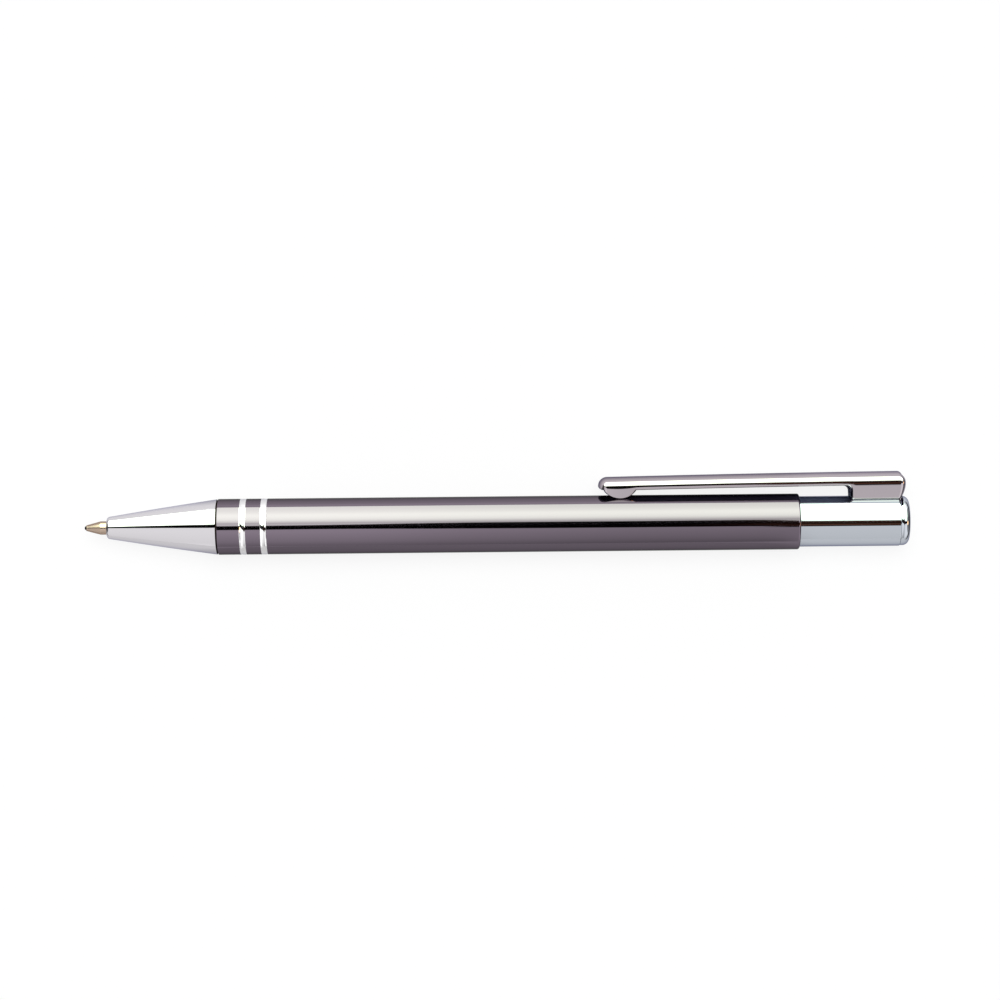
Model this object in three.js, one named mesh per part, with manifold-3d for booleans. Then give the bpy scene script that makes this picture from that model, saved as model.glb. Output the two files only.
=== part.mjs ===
// A push-action ballpoint pen lying on a table, as a scene graph of its separate pieces.
// Millimetres, +Z up. The pen lies along X, point towards -X, with its clip turned sideways to +Y.
// Stations along the pen are measured from the front of the writing ball.

import * as THREE from 'three';
import { mergeVertices } from 'three/addons/utils/BufferGeometryUtils.js';
import Module from 'manifold-3d';

const wasm = await Module();
wasm.setup();

// Travel of the plunger from the writing position
const pressTravel = 1.5;
const retractTravel = 5.5;

// Barrel
const barrelRadius = 4.65;
const barrelBore = 4.28;
const barrelEdgeRadius = 0.35;
const ringWidth = 1.1;
const ringCrown = 0.06;
const firstRing = 3.6;
const ringPitch = 3.45;

// Nose cone and its thread
const noseLength = 18.55;
const noseFrontRadius = 1.88;
const noseRearRadius = 4.6;
const noseCornerRadius = 0.6;
const noseCornerTurn = 65;
const noseBulge = 0.06;
const threadStart = 0.5;
const springPocketDepth = 5.8;
const refillBoreStart = 10.9;
const spigotLength = 6;
const threadPitch = 0.75;
const threadTurns = 4;
const threadHeight = 0.22;
const threadRootShare = 0.64;
const threadCrestShare = 0.24;
const bushLength = 7.2;
const bushRecess = 0.3;
const bushWall = 0.5;

// Refill, a large standard cartridge
const refillLength = 98;
const refillRadius = 2.9;
const refillWall = 0.25;
const refillShoulder = 17;
const refillNeckRadius = 1.5;
const pointShowing = 3.7;
const pointRadius = 1.1;
const pointConeLength = 2.6;
const pointBoreRadius = 0.2;
const pointShankRadius = 1.2;
const ballRadius = 0.4;
const ballSeatRim = 0.5;
const seatWall = 0.04;
const plugLength = 7;
const plugFlange = 1.2;
const inkLength = 58;

// Return spring
const wireRadius = 0.2;
const springRadius = 1.8;
const springTurns = 6.5;

// Click mechanism
const ribCount = 4;
const ribAngle = THREE.MathUtils.degToRad(15);
const grooveRadius = 3.35;
const guideShoulder = 10.8;
const guideRearRadius = 3.7;
const ribDepth = 0.35;
const rotorRadius = 2.4;
const rotorTail = 2.9;
const finLength = 2.3;
const toothCount = 8;
const toothDepth = 0.8;
const toothLand = THREE.MathUtils.degToRad(5);
const crownWall = 0.8;
const thrustShankBore = 1.4;
const keyStart = 1.3;
const keyLength = 1.2;
const thrustBodyLength = 7;

// Plunger tube and end cap
const plungerShowing = 16.6;
const plungerInBarrel = 9.4;
const plungerRadius = 4.2;
const plungerWall = 0.4;
const capLength = 1.55;
const capRadius = 4.1;
const capCornerRadius = 1.05;
const capSpigotLength = 6;
const capSpigotBore = 2.6;

// Clip, heights from the pen's axis
const clipSheet = 0.5;
const clipHalfWidth = 2.95;
const clipWallLean = 10;
const clipLength = 50.9;
const clipOverhang = 0.8;
const clipDepth = 2.2;
const clipArmWall = 0.25;
const clipFrontHeight = 7.69;
const clipRearHeight = 8.27;
const clipBow = 0.15;
const clipNoseLength = 2;
const clipNoseDrop = 1.5;
const clipRearCorner = 2.3;
const clipRearFoot = 0.5;
const clipBulgeHeight = 6;
const lobeRadius = 3.1;
const lobeBottom = 4.17;
const lobeStation = 3.7;
const flangeLength = 8.2;
const flangeBottom = 3.75;
const flangeFillet = 0.8;
const tabHalfWidth = 2.2;
const tabBottom = 2.6;
const tabSlotFloor = 2.4;
const tabSlotWidth = 0.8;

// Clearances
const fit = 0.03;
const slideFit = 0.05;
const looseFit = 0.1;
const seat = 0.3;
const seam = 0.05;
const fuse = 0.15;

// Number of flats round each turned piece
const coarse = 24;
const medium = 32;
const fine = 48;
const threadSteps = 16;

// Stations worked out from the sizes above
const noseFront = pointShowing;
const noseRear = noseFront + noseLength;
const barrelFront = noseRear + seam;
const ribFront = refillLength + retractTravel + seat;
const finRear = ribFront - seat;
const rotorFront = refillLength + seat;
const rotorRear = finRear + rotorTail;
const thrustFront = rotorRear + seat;
const keyRear = thrustFront + toothDepth + keyStart + keyLength;
const guideFront = rotorFront - pressTravel;
const guideRear = keyRear + retractTravel + seat;
const guideStep = guideFront + guideShoulder;
const thrustBodyFront = guideRear + pressTravel + seat;
const plungerFront = guideStep + pressTravel + seat;
const barrelRear = plungerFront + plungerInBarrel;
const barrelLength = barrelRear - barrelFront;
const plungerRear = barrelRear + plungerShowing;
const capFront = plungerRear + seam;
const penLength = capFront + capLength;
const springFront = noseFront + springPocketDepth;
const springLength = refillShoulder - springFront;
const collarFront = springFront + pressTravel + seam;
const neckFront = collarFront + seat + seam;
const tabStation = plungerRear + tabSlotWidth / 2 - seat;
const clipFront = plungerRear + clipOverhang - clipLength;

// Radii worked out from the sizes above
const spigotRadius = barrelBore - fit - bushWall - looseFit;
const refillBore = refillRadius + looseFit;
const plungerBore = plungerRadius - plungerWall;
const finRadius = grooveRadius - slideFit;
const ribRadius = grooveRadius - ribDepth;
const indexAngle = Math.PI / ribCount;
const clipFootTop = capRadius + looseFit;

// A profile in (station, radius) pairs turned about the X axis. It runs anticlockwise round its section,
// seen with X to the right and the radius up.
function turned(profile, sides) {
  const points = profile.map(([station, radius]) => new THREE.Vector2(radius, station)).reverse();
  const geometry = new THREE.LatheGeometry(points, sides);
  geometry.rotateZ(-Math.PI / 2);
  return geometry;
}

// Points on an arc from one angle to another, in (station, radius) pairs.
function arc(station, radius, size, from, to, steps) {
  const points = [];
  for (let step = 0; step <= steps; step += 1) {
    const angle = THREE.MathUtils.degToRad(from + ((to - from) * step) / steps);
    points.push([station + size * Math.cos(angle), radius + size * Math.sin(angle)]);
  }
  return points;
}

// The closed solid of a geometry, with shared corners merged and empty triangles dropped.
function solid(geometry) {
  const bare = geometry.clone();
  bare.deleteAttribute('normal');
  bare.deleteAttribute('uv');
  const merged = mergeVertices(bare, 1e-5);
  const corners = merged.index.array;
  const kept = [];
  for (let i = 0; i < corners.length; i += 3) {
    const [a, b, c] = [corners[i], corners[i + 1], corners[i + 2]];
    if (a !== b && b !== c && c !== a) {
      kept.push(a, b, c);
    }
  }
  const mesh = new wasm.Mesh({
    numProp: 3,
    vertProperties: new Float32Array(merged.attributes.position.array),
    triVerts: new Uint32Array(kept),
  });
  return new wasm.Manifold(mesh);
}

// The geometry of a closed solid.
function geometryOf(manifold) {
  const mesh = manifold.getMesh();
  const geometry = new THREE.BufferGeometry();
  geometry.setAttribute('position', new THREE.BufferAttribute(mesh.vertProperties, 3));
  geometry.setIndex(new THREE.BufferAttribute(mesh.triVerts, 1));
  const flat = geometry.toNonIndexed();
  flat.computeVertexNormals();
  return flat;
}

// One geometry with the others joined to it.
function join(base, others) {
  return geometryOf(others.reduce((sum, other) => sum.add(solid(other)), solid(base)));
}

// What two geometries have in common.
function common(first, second) {
  return geometryOf(solid(first).intersect(solid(second)));
}

// One geometry with the others cut from it.
function cut(base, others) {
  return geometryOf(others.reduce((rest, other) => rest.subtract(solid(other)), solid(base)));
}

// A closed tube of sections. Each ring has the same number of points, and the ends are flat fans.
function skin(rings) {
  const size = rings[0].length;
  const index = [];
  for (let ring = 0; ring < rings.length - 1; ring += 1) {
    for (let point = 0; point < size; point += 1) {
      const a = ring * size + point;
      const b = ring * size + ((point + 1) % size);
      index.push(a, b, a + size, b, b + size, a + size);
    }
  }
  const last = (rings.length - 1) * size;
  for (let point = 1; point < size - 1; point += 1) {
    index.push(0, point + 1, point);
    index.push(last, last + point, last + point + 1);
  }
  const geometry = new THREE.BufferGeometry();
  geometry.setAttribute('position', new THREE.Float32BufferAttribute(rings.flat(2), 3));
  geometry.setIndex(index);
  const open = geometry.toNonIndexed();
  open.computeVertexNormals();
  return open;
}

// A point at a station along the pen, at a radius and an angle round the pen.
function around(station, radius, angle) {
  return [station, radius * Math.cos(angle), radius * Math.sin(angle)];
}

// A block between two radii and two angles. Its front and rear ends are functions of the angle.
function sector(inner, outer, from, to, steps, front, rear) {
  const rings = [];
  for (let step = 0; step <= steps; step += 1) {
    const share = step / steps;
    const angle = from + (to - from) * share;
    rings.push([
      around(front(share), inner, angle),
      around(rear(share), inner, angle),
      around(rear(share), outer, angle),
      around(front(share), outer, angle),
    ]);
  }
  return skin(rings);
}

// A section of (station, radius) offsets carried along a helix about the X axis.
function helix(section, start, radius, pitch, turns, stepsPerTurn) {
  const rings = [];
  const steps = Math.round(turns * stepsPerTurn);
  for (let step = 0; step <= steps; step += 1) {
    const turn = (turns * step) / steps;
    const angle = 2 * Math.PI * turn;
    rings.push(section.map(([along, out]) => around(start + pitch * turn + along, radius + out, angle)));
  }
  return skin(rings);
}

// A ring of saw teeth that stand from a rim, pointing to the rear or to the front.
function teeth(rim, depth, inner, outer) {
  const pitch = (2 * Math.PI) / toothCount;
  const base = rim - Math.sign(depth) * fuse;
  const flank = (share) => rim + depth * (1 - Math.abs(2 * share - 1));
  const blocks = [];
  for (let tooth = 0; tooth < toothCount; tooth += 1) {
    const middle = tooth * pitch;
    const half = (pitch - toothLand) / 2;
    const front = depth > 0 ? () => base : flank;
    const rear = depth > 0 ? flank : () => base;
    blocks.push(sector(inner, outer, middle - half, middle + half, 2, front, rear));
  }
  return blocks;
}

// A part of the pen with its colour and finish, placed at a station.
function piece(name, geometry, finish, station = 0) {
  const mesh = new THREE.Mesh(geometry, new THREE.MeshStandardMaterial(finish));
  mesh.name = name;
  mesh.position.x = station;
  return mesh;
}

const gunMetal = { color: '#6f666e', roughness: 0.32, metalness: 0.85 };
const chrome = { color: '#d9dade', roughness: 0.08, metalness: 1 };
const satinChrome = { color: '#c4c5c9', roughness: 0.2, metalness: 1 };
const nickelSilver = { color: '#c9b79a', roughness: 0.25, metalness: 1 };
const springSteel = { color: '#a9a9a6', roughness: 0.3, metalness: 1 };
const carbide = { color: '#3b3b3e', roughness: 0.15, metalness: 1 };
const brass = { color: '#c5a95a', roughness: 0.35, metalness: 1 };
const cartridgeSteel = { color: '#b7b9bb', roughness: 0.28, metalness: 1 };
const blackPlastic = { color: '#232326', roughness: 0.5, metalness: 0 };
const whitePlastic = { color: '#e4e2da', roughness: 0.45, metalness: 0 };
const bluePlastic = { color: '#2c4f8f', roughness: 0.45, metalness: 0 };
const ink = { color: '#101430', roughness: 0.2, metalness: 0 };

// Barrel: a straight tube with two crowned rings cut in its surface near its front
function barrel() {
  const crownRadius = (ringWidth ** 2 / 4 + ringCrown ** 2) / (2 * ringCrown);
  const half = THREE.MathUtils.radToDeg(Math.asin(ringWidth / 2 / crownRadius));
  const ring = (station) => [
    [station + ringWidth, barrelRadius],
    ...arc(station + ringWidth / 2, barrelRadius - crownRadius, crownRadius, 90 - half, 90 + half, 4),
    [station, barrelRadius],
  ];
  const profile = [
    [0, barrelBore],
    [barrelLength, barrelBore],
    ...arc(barrelLength - barrelEdgeRadius, barrelRadius - barrelEdgeRadius, barrelEdgeRadius, 0, 90, 3),
    ...ring(firstRing + ringPitch),
    ...ring(firstRing),
    [0, barrelRadius],
    [0, barrelBore],
  ];
  return turned(profile, fine);
}

// Threaded bush fixed in the barrel's front
function threadBush() {
  const outer = barrelBore - fit;
  const inner = spigotRadius + looseFit;
  const tube = turned(
    [
      [0, inner],
      [bushLength, inner],
      [bushLength, outer],
      [0, outer],
      [0, inner],
    ],
    fine,
  );
  const start = noseRear + threadStart - (barrelFront + bushRecess) - threadPitch;
  const turns = threadTurns + 1;
  return cut(tube, [helix(threadSection(looseFit), start, spigotRadius, threadPitch, turns, threadSteps)]);
}

// The thread's ridge, grown on its flanks and crest by a clearance for the groove that it runs in.
function threadSection(clearance) {
  const root = (threadPitch * threadRootShare + clearance) / 2;
  const crest = (threadPitch * threadCrestShare + clearance) / 2;
  return [
    [-root, -fuse],
    [root, -fuse],
    [crest, threadHeight + clearance],
    [-crest, threadHeight + clearance],
  ];
}

// Nose cone: nearly straight flank, blunt front with a hole for the point, threaded spigot behind
function noseCone() {
  const hole = pointRadius + looseFit;
  const pocket = springRadius + wireRadius + looseFit;
  const cornerHeight = noseFrontRadius - noseCornerRadius;
  const corner = arc(noseCornerRadius, cornerHeight, noseCornerRadius, 180 - noseCornerTurn, 180, 3);
  const flank = [];
  const steps = 5;
  for (let step = steps - 1; step >= 1; step -= 1) {
    const share = step / steps;
    const station = noseCornerRadius + (noseLength - noseCornerRadius) * share;
    const straight = noseFrontRadius + (noseRearRadius - noseFrontRadius) * share;
    flank.push([station, straight + noseBulge * Math.sin(Math.PI * share)]);
  }
  const body = turned(
    [
      [0, hole],
      [springPocketDepth, hole],
      [springPocketDepth, pocket],
      [refillBoreStart, pocket],
      [refillBoreStart, refillBore],
      [noseLength + spigotLength, refillBore],
      [noseLength + spigotLength, spigotRadius],
      [noseLength, spigotRadius],
      [noseLength, noseRearRadius],
      ...flank,
      ...corner,
      [0, hole],
    ],
    fine,
  );
  const start = noseLength + threadStart;
  return join(body, [helix(threadSection(0), start, spigotRadius, threadPitch, threadTurns, threadSteps)]);
}

// Writing point: a cone and a stem with a spherical seat for the ball and an ink bore to the rear
function refillPoint() {
  const seatRadius = ballRadius + fit;
  const seatFront = THREE.MathUtils.radToDeg(Math.acos((ballSeatRim - ballRadius) / seatRadius));
  const seatRear = 180 - THREE.MathUtils.radToDeg(Math.asin(pointBoreRadius / seatRadius));
  const rimRadius = seatRadius * Math.sin(THREE.MathUtils.degToRad(seatFront));
  return turned(
    [
      ...mirrored(arc(ballRadius, 0, seatRadius, seatFront, seatRear, 6)),
      [refillShoulder - seat, pointBoreRadius],
      [refillShoulder - seat, pointShankRadius],
      [collarFront + seat, pointShankRadius],
      [collarFront + seat, refillNeckRadius],
      [collarFront, refillNeckRadius],
      [collarFront, pointRadius],
      [pointConeLength, pointRadius],
      [ballRadius * 2 - ballSeatRim, rimRadius + seatWall],
      [ballRadius * 2 - ballSeatRim, rimRadius],
    ],
    coarse,
  );
}

// An arc about the ball's middle, turned end for end so that it opens to the front.
function mirrored(points) {
  return points.map(([station, radius]) => [2 * ballRadius - station, radius]);
}

// Cartridge tube, necked down at the front to hold the point
function refillTube() {
  const inner = refillRadius - refillWall;
  const neckBore = pointShankRadius + fit;
  return turned(
    [
      [neckFront, neckBore],
      [refillShoulder + seat, neckBore],
      [refillShoulder + seat + inner - neckBore, inner],
      [refillLength - plugFlange - seam, inner],
      [refillLength - plugFlange - seam, refillRadius],
      [refillShoulder, refillRadius],
      [refillShoulder, refillNeckRadius],
      [neckFront, refillNeckRadius],
      [neckFront, neckBore],
    ],
    medium,
  );
}

// Ink in the cartridge
function inkColumn() {
  const radius = refillRadius - refillWall - fit;
  const front = refillShoulder + seat + refillRadius;
  return turned(
    [
      [front, 0],
      [front + inkLength, 0],
      [front + inkLength, radius],
      [front, radius],
      [front, 0],
    ],
    coarse,
  );
}

// Plug that closes the cartridge, with a flange that the rotor pushes on
function refillPlug() {
  const shank = refillRadius - refillWall - fit;
  return turned(
    [
      [-plugLength, 0],
      [0, 0],
      [0, refillRadius - seat],
      [-seat, refillRadius],
      [-plugFlange, refillRadius],
      [-plugFlange, shank],
      [-plugLength, shank],
      [-plugLength, 0],
    ],
    medium,
  );
}

// Return spring: one unbroken round wire on a helix, between the nose's pocket and the refill's shoulder
function returnSpring() {
  const sides = 6;
  const section = [];
  for (let side = 0; side < sides; side += 1) {
    const angle = (2 * Math.PI * side) / sides;
    section.push([-wireRadius * Math.sin(angle), wireRadius * Math.cos(angle)]);
  }
  const start = seam + wireRadius;
  const pitch = (springLength - 2 * start) / springTurns;
  return helix(section, start, springRadius, pitch, springTurns, 12);
}

// Cam rotor: a pin with a crown of teeth at its rear and fins that run between the guide's ribs
function camRotor() {
  const length = rotorRear - toothDepth - rotorFront;
  const finEnd = finRear - rotorFront;
  const pin = turned(
    [
      [0, 0],
      [length, 0],
      [length, rotorRadius],
      [0, rotorRadius],
      [0, 0],
    ],
    coarse,
  );
  const fins = [];
  for (let fin = 0; fin < ribCount; fin += 1) {
    const middle = (2 * Math.PI * fin) / ribCount;
    const from = middle - ribAngle / 2;
    const to = middle + ribAngle / 2;
    fins.push(sector(rotorRadius - fuse, finRadius, from, to, 2, () => finEnd - finLength, () => finEnd));
  }
  const crown = teeth(length, toothDepth, rotorRadius - crownWall, rotorRadius - seam);
  return join(pin, [...fins, ...crown]);
}

// Guide sleeve: fixed in the barrel, with ribs whose front ends are ramps for the rotor's fins
function guideSleeve() {
  const outer = barrelBore - fit;
  const tube = turned(
    [
      [0, grooveRadius],
      [guideRear - guideFront, grooveRadius],
      [guideRear - guideFront, guideRearRadius],
      [guideStep - guideFront, guideRearRadius],
      [guideStep - guideFront, outer],
      [0, outer],
      [0, grooveRadius],
    ],
    medium,
  );
  const rampRise = (retractTravel * ribAngle) / indexAngle;
  const ribs = [];
  for (let rib = 0; rib < ribCount; rib += 1) {
    const middle = (2 * Math.PI * rib) / ribCount;
    const from = middle - ribAngle / 2;
    const to = middle + ribAngle / 2;
    const front = (share) => ribFront - guideFront + rampRise * share;
    const rear = () => guideRear - guideFront;
    ribs.push(sector(ribRadius, grooveRadius + fuse, from, to, 3, front, rear));
  }
  return join(tube, ribs);
}

// Thrust sleeve: crown of teeth, keys that slide between the ribs, and a body fixed in the plunger tube
function thrustSleeve() {
  const shank = turned(
    [
      [toothDepth, thrustShankBore],
      [thrustBodyFront - thrustFront + thrustBodyLength, thrustShankBore],
      [thrustBodyFront - thrustFront + thrustBodyLength, plungerBore - slideFit],
      [thrustBodyFront - thrustFront, plungerBore - slideFit],
      [thrustBodyFront - thrustFront, rotorRadius],
      [toothDepth, rotorRadius],
      [toothDepth, thrustShankBore],
    ],
    medium,
  );
  const keys = [];
  for (let key = 0; key < ribCount; key += 1) {
    const middle = (2 * Math.PI * (key + 0.5)) / ribCount;
    const from = middle - ribAngle / 2;
    const to = middle + ribAngle / 2;
    const front = keyRear - thrustFront - keyLength;
    keys.push(sector(rotorRadius - fuse, finRadius, from, to, 2, () => front, () => front + keyLength));
  }
  const crown = teeth(toothDepth, -toothDepth, rotorRadius - crownWall, rotorRadius - seam);
  return join(shank, [...keys, ...crown]);
}

// The slot that the clip's tab enters, shared by the plunger tube and the end cap, from the pen's front
function tabSlot(origin) {
  const height = plungerRadius;
  const slot = new THREE.BoxGeometry(tabSlotWidth, height, 2 * (plungerRadius + seat));
  slot.translate(tabStation - origin, tabSlotFloor + height / 2, 0);
  return slot;
}

// Plunger tube: a thin plated tube, notched at the rear for the clip's tab
function plungerTube() {
  const length = plungerRear - plungerFront;
  const tube = turned(
    [
      [0, plungerBore],
      [length, plungerBore],
      [length, plungerRadius],
      [0, plungerRadius],
      [0, plungerBore],
    ],
    fine,
  );
  return cut(tube, [tabSlot(plungerFront)]);
}

// End cap: a rounded disc with a hollow spigot that is pressed in the plunger tube
function endCap() {
  const spigot = plungerBore - slideFit;
  const cap = turned(
    [
      [-capSpigotLength, capSpigotBore],
      [-seam, capSpigotBore],
      [-seam, 0],
      [capLength, 0],
      ...arc(capLength - capCornerRadius, capRadius - capCornerRadius, capCornerRadius, 0, 90, 6),
      [0, capRadius],
      [0, spigot],
      [-capSpigotLength, spigot],
      [-capSpigotLength, capSpigotBore],
    ],
    fine,
  );
  return cut(cap, [tabSlot(capFront)]);
}

// Height of the clip's top above the pen's axis: a shallow bow from the nose to the rear corner
function clipTopCurve(drop) {
  const front = new THREE.Vector2(clipNoseLength, clipFrontHeight - drop);
  const rear = new THREE.Vector2(clipLength - clipRearCorner, clipRearHeight - drop);
  const middle = front.clone().add(rear).multiplyScalar(0.5);
  middle.y += clipBow;
  return new THREE.QuadraticBezierCurve(front, middle, rear);
}

// Side outline of the clip: bowed top, rounded nose, lobe, straight underside, flange and bulged rear wall
function clipOutline() {
  const lobeMiddle = lobeBottom + lobeRadius;
  const roof = clipTopCurve(0).getPoints(8).reverse();
  const underside = clipTopCurve(clipDepth + clipArmWall).getPoints(8);
  const lobeAngle = (height) => Math.asin((height - lobeMiddle) / lobeRadius);
  const lobeFront = Math.PI - lobeAngle(clipFrontHeight - clipDepth);
  const lobeRear = 2 * Math.PI + lobeAngle(underside[1].y);
  const flangeFront = clipLength - clipOverhang - flangeLength;
  const flangeTop = underside[7].y;
  const rearFace = tabStation - clipFront + clipSheet / 2;
  const outline = new THREE.Shape();
  outline.moveTo(clipNoseLength, clipFrontHeight);
  outline.quadraticCurveTo(0, clipFrontHeight, 0, clipFrontHeight - clipNoseDrop);
  outline.absarc(lobeStation, lobeMiddle, lobeRadius, lobeFront, lobeRear, false);
  underside
    .filter((point) => point.x > lobeStation + lobeRadius && point.x < flangeFront - flangeFillet)
    .forEach((point) => outline.lineTo(point.x, point.y));
  outline.lineTo(flangeFront - flangeFillet, flangeTop);
  outline.quadraticCurveTo(flangeFront, flangeTop, flangeFront, flangeTop - flangeFillet);
  outline.lineTo(flangeFront, flangeBottom);
  outline.lineTo(rearFace, flangeBottom);
  outline.lineTo(rearFace, clipFootTop);
  outline.quadraticCurveTo(clipLength, clipFootTop + clipRearFoot, clipLength, clipBulgeHeight);
  outline.quadraticCurveTo(clipLength, clipRearHeight, clipLength - clipRearCorner, clipRearHeight);
  roof.slice(1, -1).forEach((point) => outline.lineTo(point.x, point.y));
  return outline;
}

// Side outline of the space inside the clip's channel, open below
function channelOutline() {
  const rearFace = tabStation - clipFront - clipSheet / 2;
  const inside = clipLength - clipSheet;
  const frontTop = clipFrontHeight - clipSheet;
  const rearTop = clipRearHeight - clipSheet;
  const roof = clipTopCurve(clipSheet).getPoints(8).reverse();
  const outline = new THREE.Shape();
  outline.moveTo(clipNoseLength, frontTop);
  outline.quadraticCurveTo(clipSheet, frontTop, clipSheet, clipFrontHeight - clipNoseDrop);
  outline.lineTo(clipSheet, 0);
  outline.lineTo(rearFace, 0);
  outline.lineTo(rearFace, clipFootTop);
  outline.quadraticCurveTo(inside, clipFootTop + clipRearFoot, inside, clipBulgeHeight);
  outline.quadraticCurveTo(inside, rearTop, inside - clipRearCorner, rearTop);
  roof.slice(1, -1).forEach((point) => outline.lineTo(point.x, point.y));
  return outline;
}

// An outline in the plane of the pen's axis and the clip, made as wide as the pen
function plate(outline) {
  const width = 2 * plungerRadius;
  const geometry = new THREE.ExtrudeGeometry(outline, { depth: width, bevelEnabled: false, curveSegments: 8 });
  geometry.translate(0, 0, -width / 2);
  return geometry;
}

// The clip's cross-section carried along its bow: an elliptical arch on walls that lean in towards the pen.
// The inset makes it smaller all round, for the space inside the sheet.
function clipArch(inset) {
  const steps = 10;
  const lean = Math.tan(THREE.MathUtils.degToRad(clipWallLean));
  const bow = clipTopCurve(0).getPoints(8);
  const front = new THREE.Vector2(-clipSheet, clipFrontHeight);
  const rear = new THREE.Vector2(clipLength + clipSheet, clipRearHeight);
  const rings = [front, ...bow, rear].map(({ x, y }) => {
    const base = y - clipDepth;
    const ring = [];
    for (let step = 0; step <= steps; step += 1) {
      const angle = Math.PI * (step / steps - 0.5);
      const height = base + (clipDepth - inset) * Math.cos(angle);
      ring.push([x, height, (clipHalfWidth - inset) * Math.sin(angle)]);
    }
    const foot = clipHalfWidth - inset - base * lean;
    ring.push([x, 0, foot], [x, 0, -foot]);
    return ring;
  });
  return skin(rings);
}

// Clip: a channel folded from sheet, with a lobe on each side wall near its free end
function clip() {
  const outside = common(plate(clipOutline()), clipArch(0));
  const inside = common(plate(channelOutline()), clipArch(clipSheet));
  const tabHeight = flangeBottom + fuse - tabBottom;
  const tab = new THREE.BoxGeometry(clipSheet, tabHeight, 2 * tabHalfWidth);
  tab.translate(tabStation - clipFront, tabBottom + tabHeight / 2, 0);
  return join(cut(outside, [inside]), [tab]);
}

// Writing ball
function writingBall() {
  const ball = new THREE.SphereGeometry(ballRadius, 16, 12);
  ball.rotateZ(Math.PI / 2);
  ball.translate(ballRadius, 0, 0);
  return ball;
}

// Assembly: the barrel with what is fixed in it, the refill, the plunger and the nose
const fixed = new THREE.Group();
fixed.add(
  piece('barrel', barrel(), gunMetal, barrelFront),
  piece('thread_bush', threadBush(), brass, barrelFront + bushRecess),
  piece('guide_sleeve', guideSleeve(), whitePlastic, guideFront),
);

const nose = new THREE.Group();
nose.add(
  piece('nose_cone', noseCone(), satinChrome, noseFront),
  piece('return_spring', returnSpring(), springSteel, springFront),
);

const refill = new THREE.Group();
refill.add(
  piece('refill_point', refillPoint(), nickelSilver),
  piece('writing_ball', writingBall(), carbide),
  piece('refill_tube', refillTube(), cartridgeSteel),
  piece('ink_column', inkColumn(), ink),
  piece('refill_plug', refillPlug(), bluePlastic, refillLength),
  piece('cam_rotor', camRotor(), blackPlastic, rotorFront),
);

const plunger = new THREE.Group();
plunger.add(
  piece('thrust_sleeve', thrustSleeve(), blackPlastic, thrustFront),
  piece('plunger_tube', plungerTube(), chrome, plungerFront),
  piece('end_cap', endCap(), chrome, capFront),
  piece('clip', clip(), chrome, clipFront),
);

// The pen stands on the table at z = 0, with the middle of its outline over the origin
const pen = new THREE.Group();
pen.add(fixed, nose, refill, plunger);
pen.position.set(-penLength / 2, (barrelRadius - clipRearHeight) / 2, barrelRadius);

export default pen;
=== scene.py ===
"""The looks of a push-action ballpoint pen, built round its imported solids.

Pieces are worked out in millimetres along the pen: a station from the front of the writing ball,
a height towards the clip and a depth towards the viewer. One function puts them in the frame, in metres.
"""

import math

import bmesh
import bpy
import numpy as np
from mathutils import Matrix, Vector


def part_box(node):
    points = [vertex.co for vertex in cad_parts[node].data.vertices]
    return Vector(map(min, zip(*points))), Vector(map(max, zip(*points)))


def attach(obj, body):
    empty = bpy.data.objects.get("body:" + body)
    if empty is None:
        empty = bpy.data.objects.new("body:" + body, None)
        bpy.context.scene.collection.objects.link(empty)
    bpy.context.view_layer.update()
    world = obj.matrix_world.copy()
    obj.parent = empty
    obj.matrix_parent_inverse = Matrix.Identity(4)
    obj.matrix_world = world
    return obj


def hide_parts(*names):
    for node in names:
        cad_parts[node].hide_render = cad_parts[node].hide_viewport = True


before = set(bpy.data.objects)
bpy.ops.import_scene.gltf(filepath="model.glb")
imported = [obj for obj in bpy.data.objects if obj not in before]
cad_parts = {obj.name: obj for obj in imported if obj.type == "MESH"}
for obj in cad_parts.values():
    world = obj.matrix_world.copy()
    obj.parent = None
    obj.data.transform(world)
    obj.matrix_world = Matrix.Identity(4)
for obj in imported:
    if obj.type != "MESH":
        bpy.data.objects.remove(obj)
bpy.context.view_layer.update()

MM = 0.001

# The pen's axis and its front end, from the frame
BARREL_LOW, BARREL_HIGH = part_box("barrel")
PEN_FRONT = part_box("writing_ball")[0].x
AXIS_HEIGHT = (BARREL_LOW.y + BARREL_HIGH.y) / 2
AXIS_DEPTH = (BARREL_LOW.z + BARREL_HIGH.z) / 2


def span(node):
    """The stations of a node's front and rear ends, in millimetres."""
    low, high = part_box(node)
    return (low.x - PEN_FRONT) / MM, (high.x - PEN_FRONT) / MM


BARREL_FRONT, BARREL_REAR = span("barrel")
NOSE_FRONT, NOSE_END = span("nose_cone")
TUBE_FRONT, TUBE_REAR = span("plunger_tube")
CAP_SPIGOT_FRONT, CAP_REAR = span("end_cap")
CLIP_FRONT, CLIP_REAR = span("clip")
SPRING_FRONT, SPRING_REAR = span("return_spring")
POINT_REAR = span("refill_point")[1]

# How smooth every piece is: the sharpest bend that still shades smooth, and steps in a turn or a flank
SMOOTH_ANGLE = math.radians(32)
FINE_SIDES = 192
POINT_SIDES = 128
BALL_SIDES = 96
WIRE_SIDES = 16
THREAD_STEPS = 96
SPRING_STEPS = 48
FLANK_STEPS = 48
# Points nearer than this, in metres, are one point
MERGE_DISTANCE = 1e-7
# Length of the short run beside a corner that keeps a straight wall's shading flat
EDGE_RUN = 0.02
FINE_EDGE_RUN = 0.01

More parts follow.
